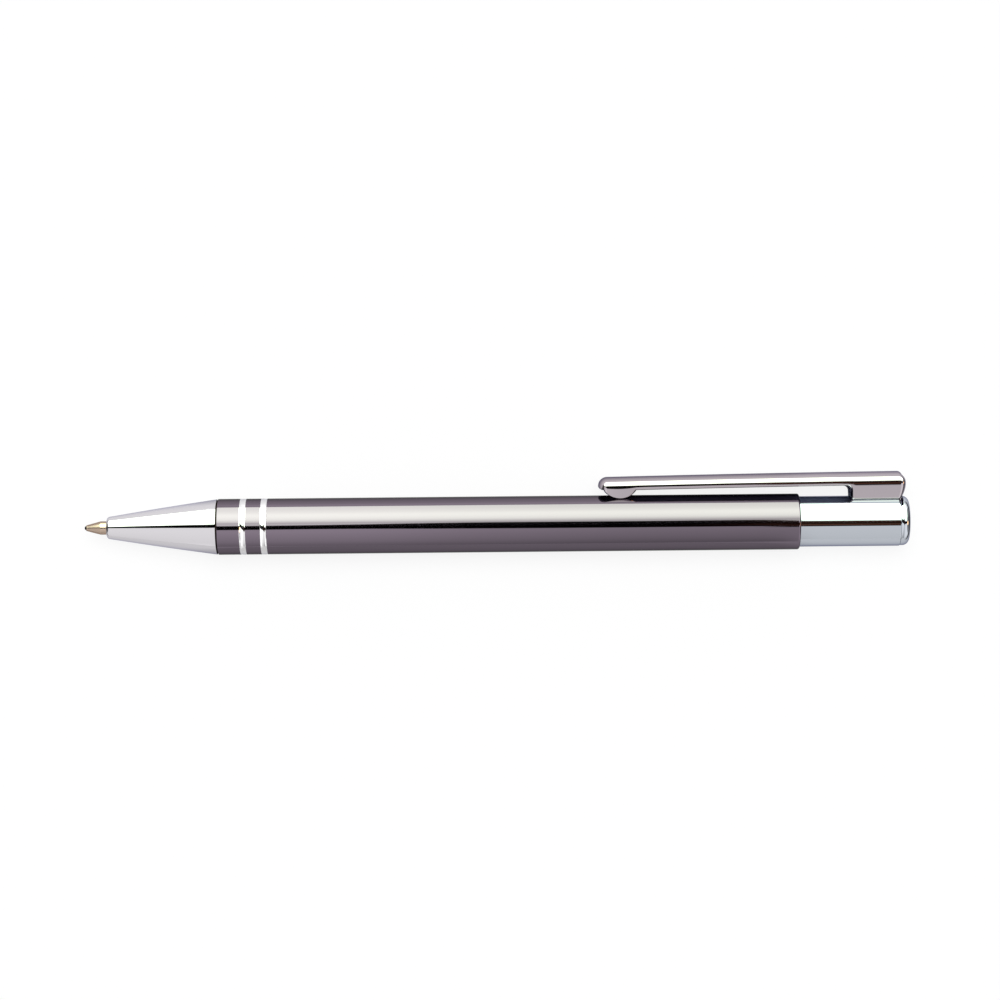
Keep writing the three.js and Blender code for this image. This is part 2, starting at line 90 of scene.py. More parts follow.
# Barrel, radii and lengths in millimetres
BARREL_RADIUS = (BARREL_HIGH.y - BARREL_LOW.y) / 2 / MM
BARREL_BORE = 4.28
BARREL_REAR_EDGE = 0.35
BARREL_FRONT_EDGE = 0.05
FIRST_RING = 3.7
SECOND_RING = 7.18
RING_RIM = 0.1
FIRST_CROWN = 0.72
SECOND_CROWN = 0.84
CROWN_RISE = 0.03
SEAM_WIDTH = 0.18
SEAM_DEPTH = 0.063

# Nose
NOSE_LENGTH = 18.55
NOSE_FRONT_RADIUS = 1.88
NOSE_REAR_RADIUS = 4.6
NOSE_CORNER = 0.6
NOSE_CORNER_TURN = 81.6
NOSE_EDGE = 0.06
NOSE_BULGE = 0.06
NOSE_HOLE = 1.2
NOSE_POCKET = 2.1
NOSE_BORE = 3.0
NOSE_POCKET_DEPTH = 5.8
NOSE_BORE_START = 10.9
NOSE_REAR_SLOT = 0.19
NOSE_NECK = 4.35
SPIGOT_RADIUS = 3.65
THREAD_PITCH = 0.75
THREAD_TURNS = 4
THREAD_HEIGHT = 0.22
THREAD_SINK = 0.1
THREAD_ROOT_HALF = 0.24
THREAD_CREST_HALF = 0.09
THREAD_START = 0.5
# The thread grows to its full section over a sixth of a turn, from this share of it
THREAD_FADE = 6
THREAD_LEAST = 0.02

# Writing point and ball
POINT_RADIUS = 1.1
POINT_CONE_END = 2.72
POINT_CONE_ROUND = 0.5
POINT_CONE_TURN = 15
POINT_STEM_EDGE = 0.05
POINT_COLLAR_FRONT = 11.05
POINT_COLLAR_LENGTH = 0.3
POINT_COLLAR_RADIUS = 1.5
POINT_SHANK_RADIUS = 1.2
POINT_SHANK_EDGE = 0.05
INK_BORE = 0.2
INK_BORE_START = 1.0
BALL_RADIUS = 0.4
SEAT_CLEARANCE = 0.02
# The seat's arc runs from the lip round the ball's back to the ink bore, in degrees from the rear
SEAT_RIM = 104
SEAT_FLOOR = 28
# The lip, crimped in over the ball, as stations and radii from its rear to its front
CRIMPED_LIP = [(0.62, 0.56), (0.52, 0.52), (0.42, 0.5), (0.34, 0.475), (0.3, 0.45)]

# Plunger tube and end cap
TUBE_RADIUS = 4.2
TUBE_BORE = 3.8
TUBE_EDGE = 0.05
# How far from an end its plain wall begins, and where an edge has its middle point, as a share of its size
END_RUN = 0.1
EDGE_MIDDLE = 0.3
CAP_FRONT = 135.45
CAP_RADIUS = 4.1
CAP_CORNER = 1.05
CAP_EDGE = 0.04
CAP_SPIGOT = 3.75
CAP_SPIGOT_BORE = 2.3
CAP_SEAT = 0.02
CAP_FACE_MIDDLE = 0.4
SLOT_FRONT = 135.25
SLOT_REAR = 135.9
SLOT_FLOOR = 2.45
SLOT_CLEARANCE = 0.05
SLOT_RAMP = 0.1

# Return spring
WIRE_RADIUS = 0.2
SPRING_RADIUS = 1.8
SPRING_TURNS = 6.5

# Clip, heights from the pen's axis, in millimetres
CLIP_SHEET = 0.5
CLIP_HALF_WIDTH = 2.95
# The walls lean in by this angle, and by no more than this share of the half width
CLIP_LEAN = math.radians(12)
LEAN_MOST = 0.5
CLIP_FRONT_HEIGHT = 7.69
CLIP_REAR_HEIGHT = 8.27
CLIP_BOW = 0.07
RIDGE_POWER = 1.85
ARCH_DEPTH = 1.6
SHOULDER_LEAST = 0.38
SHOULDER_MOST = 0.68
HEIGHT_LEAST = 0.05
ARM_DEPTH = 2.22
FRONT_SETBACK = 0.17
FRONT_DROP = 1.4
FRONT_EDGE_DROP = 0.75
REAR_DROP = 1.15
# Length and power of the superellipses that draw the ends in, in plan, and round them down, in height
FRONT_PLAN = (1.3, 2.3)
REAR_PLAN = (0.9, 3.2)
FRONT_FALL = (1.5, 2.0)
REAR_FALL = (1.0, 2.2)
FRONT_EDGE = (1.1, 2.0)
LOBE_RADIUS = 3.0
LOBE_BOTTOM = 4.17
LOBE_MIDDLE = CLIP_FRONT + 3.6
CLIP_TIP = CLIP_FRONT + FRONT_SETBACK
FLANGE_FRONT = CLIP_REAR - 8.6
FLANGE_BOTTOM = 3.75
FLANGE_FILLET = 0.9
FLANGE_CORNER = 0.3
FLANGE_BLEND_START = FLANGE_FRONT - 1.5
FLANGE_BLEND = 2
CORNER_START = FLANGE_FRONT + 0.01
TAB_HALF_WIDTH = 2.2
TAB_LENGTH = 0.9
TAB_BOTTOM = 2.6
TAB_FACE = 135.75
# The rear wall swells most at its bulge's height and falls back to its foot and its top
WALL_FOOT = 3.75
WALL_BULGE = 6.25
WALL_TOP = 7.65
WALL_SWELL = 0.33
WALL_TOP_FALL = 1.6
WALL_LENGTH = 1.6
RIM_ROUND = 0.1
# Rows of the clip's skin, as a length and a number of rows for the two ends, and numbers for the rest
TIP_ROWS = (1.6, 17)
LOBE_ROWS = 41
LOBE_TURN = 1.1
ARM_ROWS = 42
FILLET_ROWS = 12
FILLET_TURN = 0.1
CORNER_ROWS = 8
FLANGE_ROWS = 12
REAR_ROWS = (1.1, 25)
REAR_GAP = 1.3
ROW_GAP = 0.2
ROW_LEAST = 0.05
RIDGE_COLUMNS = 41
WALL_COLUMNS = 17
WALL_CROWDING = 1.3
RIM_COLUMNS = np.linspace(0.12, 0.88, 5)


def mesh_object(name, station, height, depth, loop=True):
    """A closed skin over a grid of points, given as three arrays of the same shape in millimetres.

    Each row closes round on itself, and so does each column when loop is true. Points that coincide are
    merged, so a row drawn in to one point closes as a pole. Faces are turned to enclose a positive volume.
    """
    rows, columns = station.shape
    points = np.stack([PEN_FRONT + station * MM, AXIS_HEIGHT + height * MM, AXIS_DEPTH + depth * MM], -1)
    number = np.arange(rows * columns).reshape(rows, columns)
    if loop:
        number = np.vstack([number, number[:1]])
    number = np.hstack([number, number[:, :1]])
    corners = np.stack([number[:-1, :-1], number[1:, :-1], number[1:, 1:], number[:-1, 1:]], -1)
    mesh = bpy.data.meshes.new(name)
    mesh.from_pydata(points.reshape(-1, 3).tolist(), [], corners.reshape(-1, 4).tolist())
    shape = bmesh.new()
    shape.from_mesh(mesh)
    bmesh.ops.remove_doubles(shape, verts=shape.verts, dist=MERGE_DISTANCE)
    if shape.calc_volume(signed=True) < 0:
        bmesh.ops.reverse_faces(shape, faces=shape.faces)
    shape.to_mesh(mesh)
    shape.free()
    mesh.polygons.foreach_set("use_smooth", np.ones(len(mesh.polygons), bool))
    mesh.set_sharp_from_angle(angle=SMOOTH_ANGLE)
    piece = bpy.data.objects.new(name, mesh)
    bpy.context.scene.collection.objects.link(piece)
    return piece


def turned(name, stations, radii, sides=FINE_SIDES, loop=True):
    """A profile turned about the pen's axis: height = radius * cos(angle), depth = radius * sin(angle).

    Stations and radii are lists of numbers, or of one row of numbers for each angle.
    """
    angle = np.linspace(0, 2 * np.pi, sides, endpoint=False)
    station = np.stack([np.broadcast_to(value, angle.shape) for value in stations])
    radius = np.stack([np.broadcast_to(value, angle.shape) for value in radii])
    return mesh_object(name, station, radius * np.cos(angle), radius * np.sin(angle), loop)


def turned_outline(name, parts, sides=FINE_SIDES):
    """A closed outline of (station, radius) runs, joined end to end and turned about the axis."""
    outline = np.vstack(parts)
    return turned(name, outline[:, 0], outline[:, 1], sides)


def arc(station, radius, size, start, end, steps):
    """Points on a circle about (station, radius), from one angle to another in degrees."""
    angle = np.radians(np.linspace(start, end, steps + 1))
    return np.stack([station + size * np.cos(angle), radius + size * np.sin(angle)], -1)


def straight(start, end, edge=EDGE_RUN):
    """A straight run with a point close to each end, which keeps its shading flat up to the corners."""
    start, end = np.array(start, float), np.array(end, float)
    along = (end - start) / np.linalg.norm(end - start) * edge
    return np.stack([start, start + along, end - along, end])


# Turned pieces


def crown(front, width):
    """A crowned ring, from rear to front: an arc as wide as the ring and as high as its rise."""
    radius = (width**2 / 4 + CROWN_RISE**2) / (2 * CROWN_RISE)
    half = math.degrees(math.asin(width / 2 / radius))
    return arc(front + width / 2, BARREL_RADIUS - radius, radius, 90 - half, 90 + half, steps=16)


def first_ring():
    """The front ring, from rear to front: a crown, a narrow seam and a flat rim."""
    front = BARREL_FRONT + FIRST_RING
    seam = front + RING_RIM
    rear = seam + SEAM_WIDTH + FIRST_CROWN
    bottom = (seam + SEAM_WIDTH / 2, BARREL_RADIUS - SEAM_DEPTH)
    rim = [bottom, (seam, BARREL_RADIUS), (seam - EDGE_RUN, BARREL_RADIUS), (front, BARREL_RADIUS)]
    return np.vstack([[(rear, BARREL_RADIUS)], crown(seam + SEAM_WIDTH, FIRST_CROWN), rim])


def second_ring():
    """The rear ring, from rear to front: a narrow seam and a crown."""
    front = BARREL_FRONT + SECOND_RING
    seam = front + SECOND_CROWN
    bottom = (seam + SEAM_WIDTH / 2, BARREL_RADIUS - SEAM_DEPTH)
    rim = [(seam + SEAM_WIDTH, BARREL_RADIUS), bottom]
    return np.vstack([rim, crown(front, SECOND_CROWN), [(front, BARREL_RADIUS)]])


def barrel_tube():
    """The barrel: a tube with rounded ends and two crowned rings."""
    rear_ring = second_ring()
    front_ring = first_ring()
    rear = BARREL_REAR - BARREL_REAR_EDGE
    front = BARREL_FRONT + BARREL_FRONT_EDGE
    return turned_outline(
        "barrel_tube",
        [
            straight((BARREL_FRONT, BARREL_BORE), (BARREL_REAR, BARREL_BORE)),
            arc(rear, BARREL_RADIUS - BARREL_REAR_EDGE, BARREL_REAR_EDGE, 0, 90, steps=12),
            straight((rear, BARREL_RADIUS), rear_ring[0])[1:-1],
            rear_ring,
            straight(rear_ring[-1], front_ring[0])[1:-1],
            front_ring,
            straight(front_ring[-1], (front, BARREL_RADIUS))[1:-1],
            arc(front, BARREL_RADIUS - BARREL_FRONT_EDGE, BARREL_FRONT_EDGE, 90, 180, steps=6),
        ],
    )


def nose_shell():
    """The nose: a cone whose radius also swells by a half sine wave, a rounded front and a stepped bore."""
    share = np.linspace(1, 0, FLANK_STEPS + 1)
    start = NOSE_FRONT + NOSE_CORNER
    end = NOSE_FRONT + NOSE_LENGTH
    rear = end - NOSE_REAR_SLOT
    radius = NOSE_FRONT_RADIUS + (NOSE_REAR_RADIUS - NOSE_FRONT_RADIUS) * share
    flank = np.stack([start + (rear - start) * share, radius + NOSE_BULGE * np.sin(np.pi * share)], -1)
    pocket = NOSE_FRONT + NOSE_POCKET_DEPTH
    bore = NOSE_FRONT + NOSE_BORE_START
    bevel = NOSE_EDGE / 2
    return turned_outline(
        "nose_shell",
        [
            arc(NOSE_FRONT + NOSE_EDGE, NOSE_HOLE + NOSE_EDGE, NOSE_EDGE, 180, 270, steps=4),
            straight((NOSE_FRONT + 2 * NOSE_EDGE, NOSE_HOLE), (pocket, NOSE_HOLE)),
            straight((pocket, NOSE_POCKET), (bore, NOSE_POCKET)),
            straight((bore, NOSE_BORE), (NOSE_END, NOSE_BORE)),
            straight((NOSE_END, SPIGOT_RADIUS), (end, SPIGOT_RADIUS)),
            straight((end, NOSE_NECK), (rear, NOSE_NECK)),
            [(rear, NOSE_REAR_RADIUS - bevel), (rear - bevel, NOSE_REAR_RADIUS)],
            flank[1:-1],
            arc(start, NOSE_FRONT_RADIUS - NOSE_CORNER, NOSE_CORNER, 180 - NOSE_CORNER_TURN, 180, steps=14),
        ],
    )


def pointed(grid):
    """A grid with a row more before its first and after its last, at that row's mean, to close the ends."""
    ends = grid[[0, -1]].mean(1, keepdims=True).repeat(grid.shape[1], 1)
    return np.vstack([ends[:1], grid, ends[1:]])


def nose_thread():
    """The nose's thread: a trapezium carried along a helix of the thread's pitch, closed at both ends.

    Height = radius * cos(angle), depth = radius * sin(angle), station = pitch * turns.
    """
    turn = np.linspace(0, THREAD_TURNS, THREAD_TURNS * THREAD_STEPS + 1)[:, None]
    angle = 2 * np.pi * turn
    fade = np.clip(np.minimum(turn, THREAD_TURNS - turn) * THREAD_FADE, THREAD_LEAST, 1)
    along = np.array([-THREAD_ROOT_HALF, THREAD_ROOT_HALF, THREAD_CREST_HALF, -THREAD_CREST_HALF])
    out = np.array([-THREAD_SINK, -THREAD_SINK, THREAD_HEIGHT, THREAD_HEIGHT])
    station = NOSE_FRONT + NOSE_LENGTH + THREAD_START + THREAD_PITCH * turn + along * fade
    radius = SPIGOT_RADIUS + np.where(out > 0, out * fade, out)
    grids = [station, radius * np.cos(angle), radius * np.sin(angle)]
    return mesh_object("nose_thread", *[pointed(grid) for grid in grids], loop=False)


def point_body():
    """The writing point: a cone with a crimped lip, a stem, a collar and a shank, with an ink bore."""
    collar_front = POINT_COLLAR_FRONT
    collar_rear = collar_front + POINT_COLLAR_LENGTH
    stem_end = collar_front - POINT_STEM_EDGE
    cone_round = POINT_RADIUS - POINT_CONE_ROUND
    return turned_outline(
        "point_body",
        [
            arc(BALL_RADIUS, 0, BALL_RADIUS + SEAT_CLEARANCE, SEAT_RIM, SEAT_FLOOR, steps=12),
            [(INK_BORE_START, INK_BORE), (POINT_REAR, INK_BORE)],
            [(POINT_REAR, POINT_SHANK_RADIUS - POINT_SHANK_EDGE)],
            [(POINT_REAR - POINT_SHANK_EDGE, POINT_SHANK_RADIUS)],
            straight((collar_rear, POINT_SHANK_RADIUS), (collar_rear, POINT_COLLAR_RADIUS), FINE_EDGE_RUN),
            straight((collar_front, POINT_COLLAR_RADIUS), (collar_front, POINT_RADIUS), FINE_EDGE_RUN),
            straight((stem_end, POINT_RADIUS), (POINT_CONE_END, POINT_RADIUS)),
            arc(POINT_CONE_END, cone_round, POINT_CONE_ROUND, 90, 90 + POINT_CONE_TURN, steps=4),
            CRIMPED_LIP,
        ],
        POINT_SIDES,
    )


def point_ball():
    """The writing ball: radius = r sin t, station = r - r cos t."""
    turn = np.linspace(0, np.pi, BALL_SIDES // 2 + 1)
    station = BALL_RADIUS * (1 - np.cos(turn))
    return turned("point_ball", station, BALL_RADIUS * np.sin(turn), BALL_SIDES, loop=False)


def slot_share(radius):
    """1 where a circle of this radius is above the floor of the tab's slot, else 0, with a steep ramp."""
    angle = np.linspace(0, 2 * np.pi, FINE_SIDES, endpoint=False)
    return np.clip((radius * np.cos(angle) - SLOT_FLOOR) / SLOT_RAMP, 0, 1)


def plunger_shell():
    """The plunger tube, whose rear end steps forward where the clip's tab comes in."""
    front = TUBE_FRONT
    rear = TUBE_REAR + slot_share(TUBE_BORE) * (SLOT_FRONT - TUBE_REAR)
    outline = [
        (front + TUBE_EDGE, TUBE_BORE),
        (front + END_RUN, TUBE_BORE),
        (rear - END_RUN, TUBE_BORE),
        (rear - TUBE_EDGE, TUBE_BORE),
        (rear, TUBE_BORE + TUBE_EDGE),
        (rear, TUBE_RADIUS - TUBE_EDGE),
        (rear - EDGE_MIDDLE * TUBE_EDGE, TUBE_RADIUS - EDGE_MIDDLE * TUBE_EDGE),
        (rear - TUBE_EDGE, TUBE_RADIUS),
        (rear - END_RUN, TUBE_RADIUS),
        (front + END_RUN, TUBE_RADIUS),
        (front + TUBE_EDGE, TUBE_RADIUS),
        (front, TUBE_RADIUS - TUBE_EDGE),
        (front, TUBE_BORE + TUBE_EDGE),
    ]
    return turned("plunger_shell", *zip(*outline))


def end_cap_shell():
    """The end cap: a disc with a round corner, a hollow spigot, and the tab's slot between them."""
    share = slot_share(CAP_RADIUS)
    seat = CAP_FRONT - CAP_SEAT
    head = CAP_FRONT + share * (SLOT_REAR - CAP_FRONT)
    neck = seat - share * (seat - SLOT_FRONT)
    groove = CAP_SPIGOT - share * (CAP_SPIGOT - SLOT_FLOOR - SLOT_CLEARANCE)
    face = CAP_RADIUS - CAP_CORNER
    outline = [
        (CAP_SPIGOT_FRONT, CAP_SPIGOT_BORE),
        (CAP_FRONT - END_RUN, CAP_SPIGOT_BORE),
        (CAP_FRONT - END_RUN, 0),
        (CAP_REAR, 0),
        (CAP_REAR, CAP_FACE_MIDDLE),
        (CAP_REAR, face - EDGE_RUN),
        *arc(CAP_REAR - CAP_CORNER, face, CAP_CORNER, 0, 90, steps=24),
        (head + CAP_EDGE, CAP_RADIUS),
        (head + EDGE_MIDDLE * CAP_EDGE, CAP_RADIUS - EDGE_MIDDLE * CAP_EDGE),
        (head, CAP_RADIUS - CAP_EDGE),
        (head, groove),
        (neck, groove),
        (neck, CAP_SPIGOT),
        (CAP_SPIGOT_FRONT, CAP_SPIGOT),
    ]
    return turned("end_cap_shell", *zip(*outline))


def spring_wire():
    """The return spring: a circle carried along a helix, with its ends drawn in to a point.

    Height = radius * cos(angle), depth = radius * sin(angle), station = length * share of the turns.
    """
    turn = np.linspace(0, SPRING_TURNS, int(SPRING_TURNS * SPRING_STEPS) + 1)[:, None]
    angle = 2 * np.pi * turn
    round_wire = np.linspace(0, 2 * np.pi, WIRE_SIDES, endpoint=False)
    wire = np.full(turn.shape, WIRE_RADIUS)
    wire[[0, -1]] = 0
    length = SPRING_REAR - SPRING_FRONT - 2 * WIRE_RADIUS
    station = SPRING_FRONT + WIRE_RADIUS + length * turn / SPRING_TURNS - wire * np.sin(round_wire)
    radius = SPRING_RADIUS + wire * np.cos(round_wire)
    return mesh_object("spring_wire", station, radius * np.cos(angle), radius * np.sin(angle), loop=False)


# Clip


def clip_height(station):
    """Height of the clip's ridge: a straight line between its two ends plus a shallow parabola."""
    share = (station - CLIP_FRONT) / (CLIP_REAR - CLIP_FRONT)
    line = CLIP_FRONT_HEIGHT + (CLIP_REAR_HEIGHT - CLIP_FRONT_HEIGHT) * share
    return line + CLIP_BOW * 4 * share * (1 - share)


def round_end(gap, length, power):
    """Share of the full width at a distance from an end: a superellipse of that length and power."""
    share = np.clip(gap / length, 0, 1)
    return (1 - (1 - share) ** power) ** (1 / power)


def over_lobe(station):
    """1 less the square of the distance from the lobe's middle, in lobe radii, and 0 outside the lobe."""
    return np.clip(1 - ((station - LOBE_MIDDLE) / LOBE_RADIUS) ** 2, 0, 1)


def clip_rows():
    """Stations of the clip's rows: tip, lobe, arm, fillet, flange corner, flange and rear wall.

    They follow a cosine or a sine where the outline is round, and are evenly spaced elsewhere.
    """
    quarter = np.pi / 2
    tip_length, tip_rows = TIP_ROWS
    tip = CLIP_TIP + tip_length * (1 - np.cos(np.linspace(0, quarter, tip_rows)))
    lobe = LOBE_MIDDLE + LOBE_RADIUS * np.sin(np.linspace(-LOBE_TURN, LOBE_TURN, LOBE_ROWS))
    lobe = lobe[lobe > tip[-1] + ROW_LEAST]
    fillet_start = FLANGE_FRONT - FLANGE_FILLET
    arm = np.linspace(lobe[-1] + ROW_GAP, fillet_start, ARM_ROWS)
    fillet = fillet_start + FLANGE_FILLET * np.sin(np.linspace(FILLET_TURN, quarter, FILLET_ROWS))
    corner = CORNER_START + FLANGE_CORNER * (1 - np.cos(np.linspace(0, quarter, CORNER_ROWS)))
    flange = np.linspace(corner[-1] + ROW_GAP, CLIP_REAR - REAR_GAP, FLANGE_ROWS)
    rear_length, rear_rows = REAR_ROWS
    rear = CLIP_REAR - rear_length * (1 - np.sin(np.linspace(0, quarter, rear_rows)))
    return np.concatenate([tip, lobe, arm, fillet, corner, flange, rear])[:, None]


def clip_bottom(station):
    """Height of the walls' lower edge: the arm's straight edge, with quarter and half circles.

    The lobe is a half circle under the arm, the tip rounds up by a superellipse, a quarter circle leads
    down to the flange, and another rounds the flange's front corner.
    """
    ridge = clip_height(station)
    arm = ridge - ARM_DEPTH
    reach = over_lobe(station)
    lobe = LOBE_BOTTOM + LOBE_RADIUS * (1 - np.sqrt(reach))
    bottom = np.minimum(arm, np.where(reach > 0, lobe, arm))
    tip = ridge - FRONT_DROP - FRONT_EDGE_DROP * round_end(station - CLIP_TIP, *FRONT_EDGE)
    bottom = np.where(station < CLIP_TIP + FRONT_EDGE[0], np.maximum(bottom, tip), bottom)
    turn = np.clip((station - FLANGE_FRONT + FLANGE_FILLET) / FLANGE_FILLET, 0, 1)
    bottom = bottom - np.where(station <= FLANGE_FRONT, FLANGE_FILLET * (1 - np.sqrt(1 - turn**2)), 0)
    turn = np.clip((station - CORNER_START) / FLANGE_CORNER, 0, 1)
    corner = FLANGE_BOTTOM + FLANGE_CORNER * (1 - np.sqrt(1 - (1 - turn) ** 2))
    return np.where(station > FLANGE_FRONT, corner, bottom)


def wall_lean(station, depth, half_width):
    """How far a wall leans in at a depth below the arch: by a parabola at first and then straight.

    The parabola is longer over the lobe and the flange.
    """
    over_flange = np.clip((station - FLANGE_BLEND_START) / FLANGE_BLEND, 0, 1)
    widened = np.maximum(over_lobe(station), over_flange)
    shoulder = SHOULDER_LEAST + (SHOULDER_MOST - SHOULDER_LEAST) * widened
    bent = np.minimum(depth, shoulder)
    lean = math.tan(CLIP_LEAN) * (bent**2 / (2 * shoulder) + depth - bent)
    return np.minimum(lean, half_width * LEAN_MOST)


def rear_swell(station, height):
    """How far the rear wall swells back: two half parabolas, up and down from the height of its bulge."""
    share = np.clip((station - (CLIP_REAR - WALL_LENGTH)) / WALL_LENGTH, 0, 1)
    below = np.clip((WALL_BULGE - height) / (WALL_BULGE - WALL_FOOT), 0, 1) ** 2
    above = np.clip((height - WALL_BULGE) / (WALL_TOP - WALL_BULGE), 0, 1) ** 2
    fall = below * (CLIP_REAR + WALL_SWELL - TAB_FACE) + above * WALL_SWELL * WALL_TOP_FALL
    return share * (WALL_SWELL - fall)


def clip_skin(inset):
    """One side of the sheet, as rows along the clip and columns across it.

    Across: half a superellipse over the top, then walls that lean in.
    Along: the ridge line, with both ends drawn in by a superellipse in plan and rounded down in height.
    """
    station = clip_rows()
    ridge = clip_height(station)
    front_gap = station - CLIP_TIP
    rear_gap = CLIP_REAR - station
    plan = np.minimum(round_end(front_gap, *FRONT_PLAN), round_end(rear_gap, *REAR_PLAN))
    half_width = (CLIP_HALF_WIDTH - inset) * plan
    front_fall = FRONT_DROP * (1 - round_end(front_gap, *FRONT_FALL))
    rear_fall = REAR_DROP * (1 - round_end(rear_gap, *REAR_FALL))
    base = ridge - ARCH_DEPTH
    rise = np.maximum(ridge - front_fall - rear_fall - inset - base, HEIGHT_LEAST)
    turn = np.linspace(0, np.pi, RIDGE_COLUMNS)
    top_across = half_width * np.sign(np.cos(turn)) * np.abs(np.cos(turn)) ** (2 / RIDGE_POWER)
    top_height = base + rise * np.abs(np.sin(turn)) ** (2 / RIDGE_POWER)
    on_tab = (rear_gap < TAB_LENGTH) & (half_width < TAB_HALF_WIDTH)
    low = np.where(on_tab, TAB_BOTTOM, clip_bottom(station))
    share = np.linspace(0, 1, WALL_COLUMNS)[1:] ** WALL_CROWDING
    depth = np.maximum(base - low, HEIGHT_LEAST) * share[::-1]
    wall_height = base - depth
    wall_across = half_width - wall_lean(station, depth, half_width)
    height = np.hstack([wall_height, top_height, wall_height[:, ::-1]])
    across = np.hstack([wall_across, top_across, -wall_across[:, ::-1]])
    stations = station + rear_swell(station, height)
    along = (stations - CLIP_FRONT) / (CLIP_REAR - CLIP_FRONT)
    return stations + inset * (1 - 2 * along), height, across


def clip_rim(outer, inner, side, share):
    """The rim between the skins' columns at one side, with its own at these shares of the way across.

    It runs straight from skin to skin and bulges down by a parabola.
    """
    first = [grid[:, [side]] for grid in outer]
    last = [grid[:, [side]] for grid in inner]
    station, _, across = [a * (1 - share) + b * share for a, b in zip(first, last)]
    return station, np.minimum(first[1], last[1]) - RIM_ROUND * 4 * share * (1 - share), across


def clip_channel():
    """The clip as one closed loop of columns: its outer skin, a rim, its inner skin and the other rim."""
    outer = clip_skin(0)
    inner = clip_skin(CLIP_SHEET)
    last_rim = clip_rim(outer, inner, -1, RIM_COLUMNS)
    first_rim = clip_rim(outer, inner, 0, RIM_COLUMNS[::-1])
    loops = zip(outer, last_rim, inner, first_rim)
    grids = [np.hstack([top, down, under[:, ::-1], up]) for top, down, under, up in loops]
    return mesh_object("clip_channel", *grids, loop=False)


# Materials

MATHS = "ShaderNodeMath"
RANGE = "ShaderNodeMapRange"
CURVE = "ShaderNodeFloatCurve"
NOISE = "ShaderNodeTexNoise"
BUMP = "ShaderNodeBump"
PLACE = "ShaderNodeTexCoord"
AXES = "ShaderNodeSeparateXYZ"
ANGLE = "ShaderNodeVectorMath"
SURFACE = "ShaderNodeBsdfPrincipled"
LIGHT = "ShaderNodeBackground"
MIX = "ShaderNodeMixShader"
SMOOTH = {"interpolation_type": "SMOOTHSTEP"}
COSINE = {"operation": "DOT_PRODUCT"}
# Nearly all of a noise lies between these values
NOISE_RANGE = (0.3, 0.7)
# Cells of the turning noise in a metre across the pen, so few that it hardly varies round the pen
RING_CELLS = 12
# Cells of the handling noise in a metre, about 4 mm each
HANDLING_CELLS = 260.0
GRAIN_SPREAD = 0.06
GRAIN_DEPTH = 0.004 * MM


def linear(code):
    """An sRGB hex colour as linear red, green, blue and alpha."""
    value = np.array([int(code[i:i + 2], 16) for i in (1, 3, 5)]) / 255
    value = np.where(value <= 0.04045, value / 12.92, ((value + 0.055) / 1.055) ** 2.4)
    return (*value.tolist(), 1.0)


def add(tree, kind, *inputs, **settings):
    """A node with its settings and its inputs, in order or by name with _ for a space.

    An input takes an output, a node, whose first output is then joined, or a plain value.
    """
    node = tree.nodes.new(kind)
    sockets = dict(enumerate(inputs))
    for name, value in settings.items():
        label = name.replace("_", " ")
        if label in node.inputs:
            sockets[label] = value
        else:
            setattr(node, name, value)
    for label, value in sockets.items():
        if isinstance(value, bpy.types.Node):
            value = value.outputs[0]
        if isinstance(value, bpy.types.NodeSocket):
            tree.links.new(value, node.inputs[label])
        else:
            node.inputs[label].default_value = value
    return node


def material(name):
    """An empty material and its node tree."""
    made = bpy.data.materials.new(name)
    made.use_nodes = True
    made.node_tree.nodes.clear()
    return made, made.node_tree


def add_surface(tree, wear, relief, roughness, spread, **settings):
    """A material's surface, with this relief, whose roughness follows a noise by the given spread."""
    rough = add(tree, RANGE, wear, *NOISE_RANGE, roughness - spread, roughness + spread)
    surface = add(tree, SURFACE, Roughness=rough, Normal=relief, **settings)
    add(tree, "ShaderNodeOutputMaterial", surface)


def metal(name, colour, edge, roughness, spread, line_mm, line_depth_mm):
    """A metal turned or polished along fine rings round the pen.

    The rings are a noise stretched round the pen, spaced line_mm apart. A second, broad noise varies the
    roughness by the given spread, as handling does.
    """
    made, tree = material(name)
    place = add(tree, PLACE).outputs["Object"]
    fine = add(tree, "ShaderNodeMapping", place, Scale=(1 / (line_mm * MM), RING_CELLS, RING_CELLS))
    rings = add(tree, NOISE, fine, Scale=1.0, Detail=3.0)
    relief = add(tree, BUMP, Strength=0.5, Distance=line_depth_mm * MM, Height=rings)
    handling = add(tree, NOISE, place, Scale=HANDLING_CELLS, Detail=4.0)
    colours = {"Base_Color": linear(colour), "Specular_Tint": linear(edge)}
    add_surface(tree, handling, relief, roughness, spread, Metallic=1.0, **colours)
    return made


def moulded(name, colour, roughness, grain_mm):
    """A moulded plastic with a fine sparked grain."""
    made, tree = material(name)
    place = add(tree, PLACE).outputs["Object"]
    grain = add(tree, NOISE, place, Scale=1 / (grain_mm * MM), Detail=2.0)
    relief = add(tree, BUMP, Strength=0.3, Distance=GRAIN_DEPTH, Height=grain)
    add_surface(tree, grain, relief, roughness, GRAIN_SPREAD, Base_Color=linear(colour), IOR=1.48)
    return made


# Anodised aluminium, dyed gun-metal and polished: dark, a little violet, with a soft-edged reflection
ANODISED = metal("anodised_aluminium_gunmetal", "#776C78", "#A6AAA6", 0.05, 0.01, 0.12, 0.0003)
# Aluminium turned bright with a diamond tool: the dye is cut away and leaves a white mirror
BRIGHT_CUT = metal("aluminium_diamond_turned", "#FAF9FA", "#E6E6EC", 0.04, 0.01, 0.1, 0.0002)
# Nickel and chromium plate on the turned brass nose: smooth and pale
NOSE_PLATE = metal("nickel_plate_polished", "#D8D5D9", "#C4C4D4", 0.04, 0.01, 0.15, 0.0002)
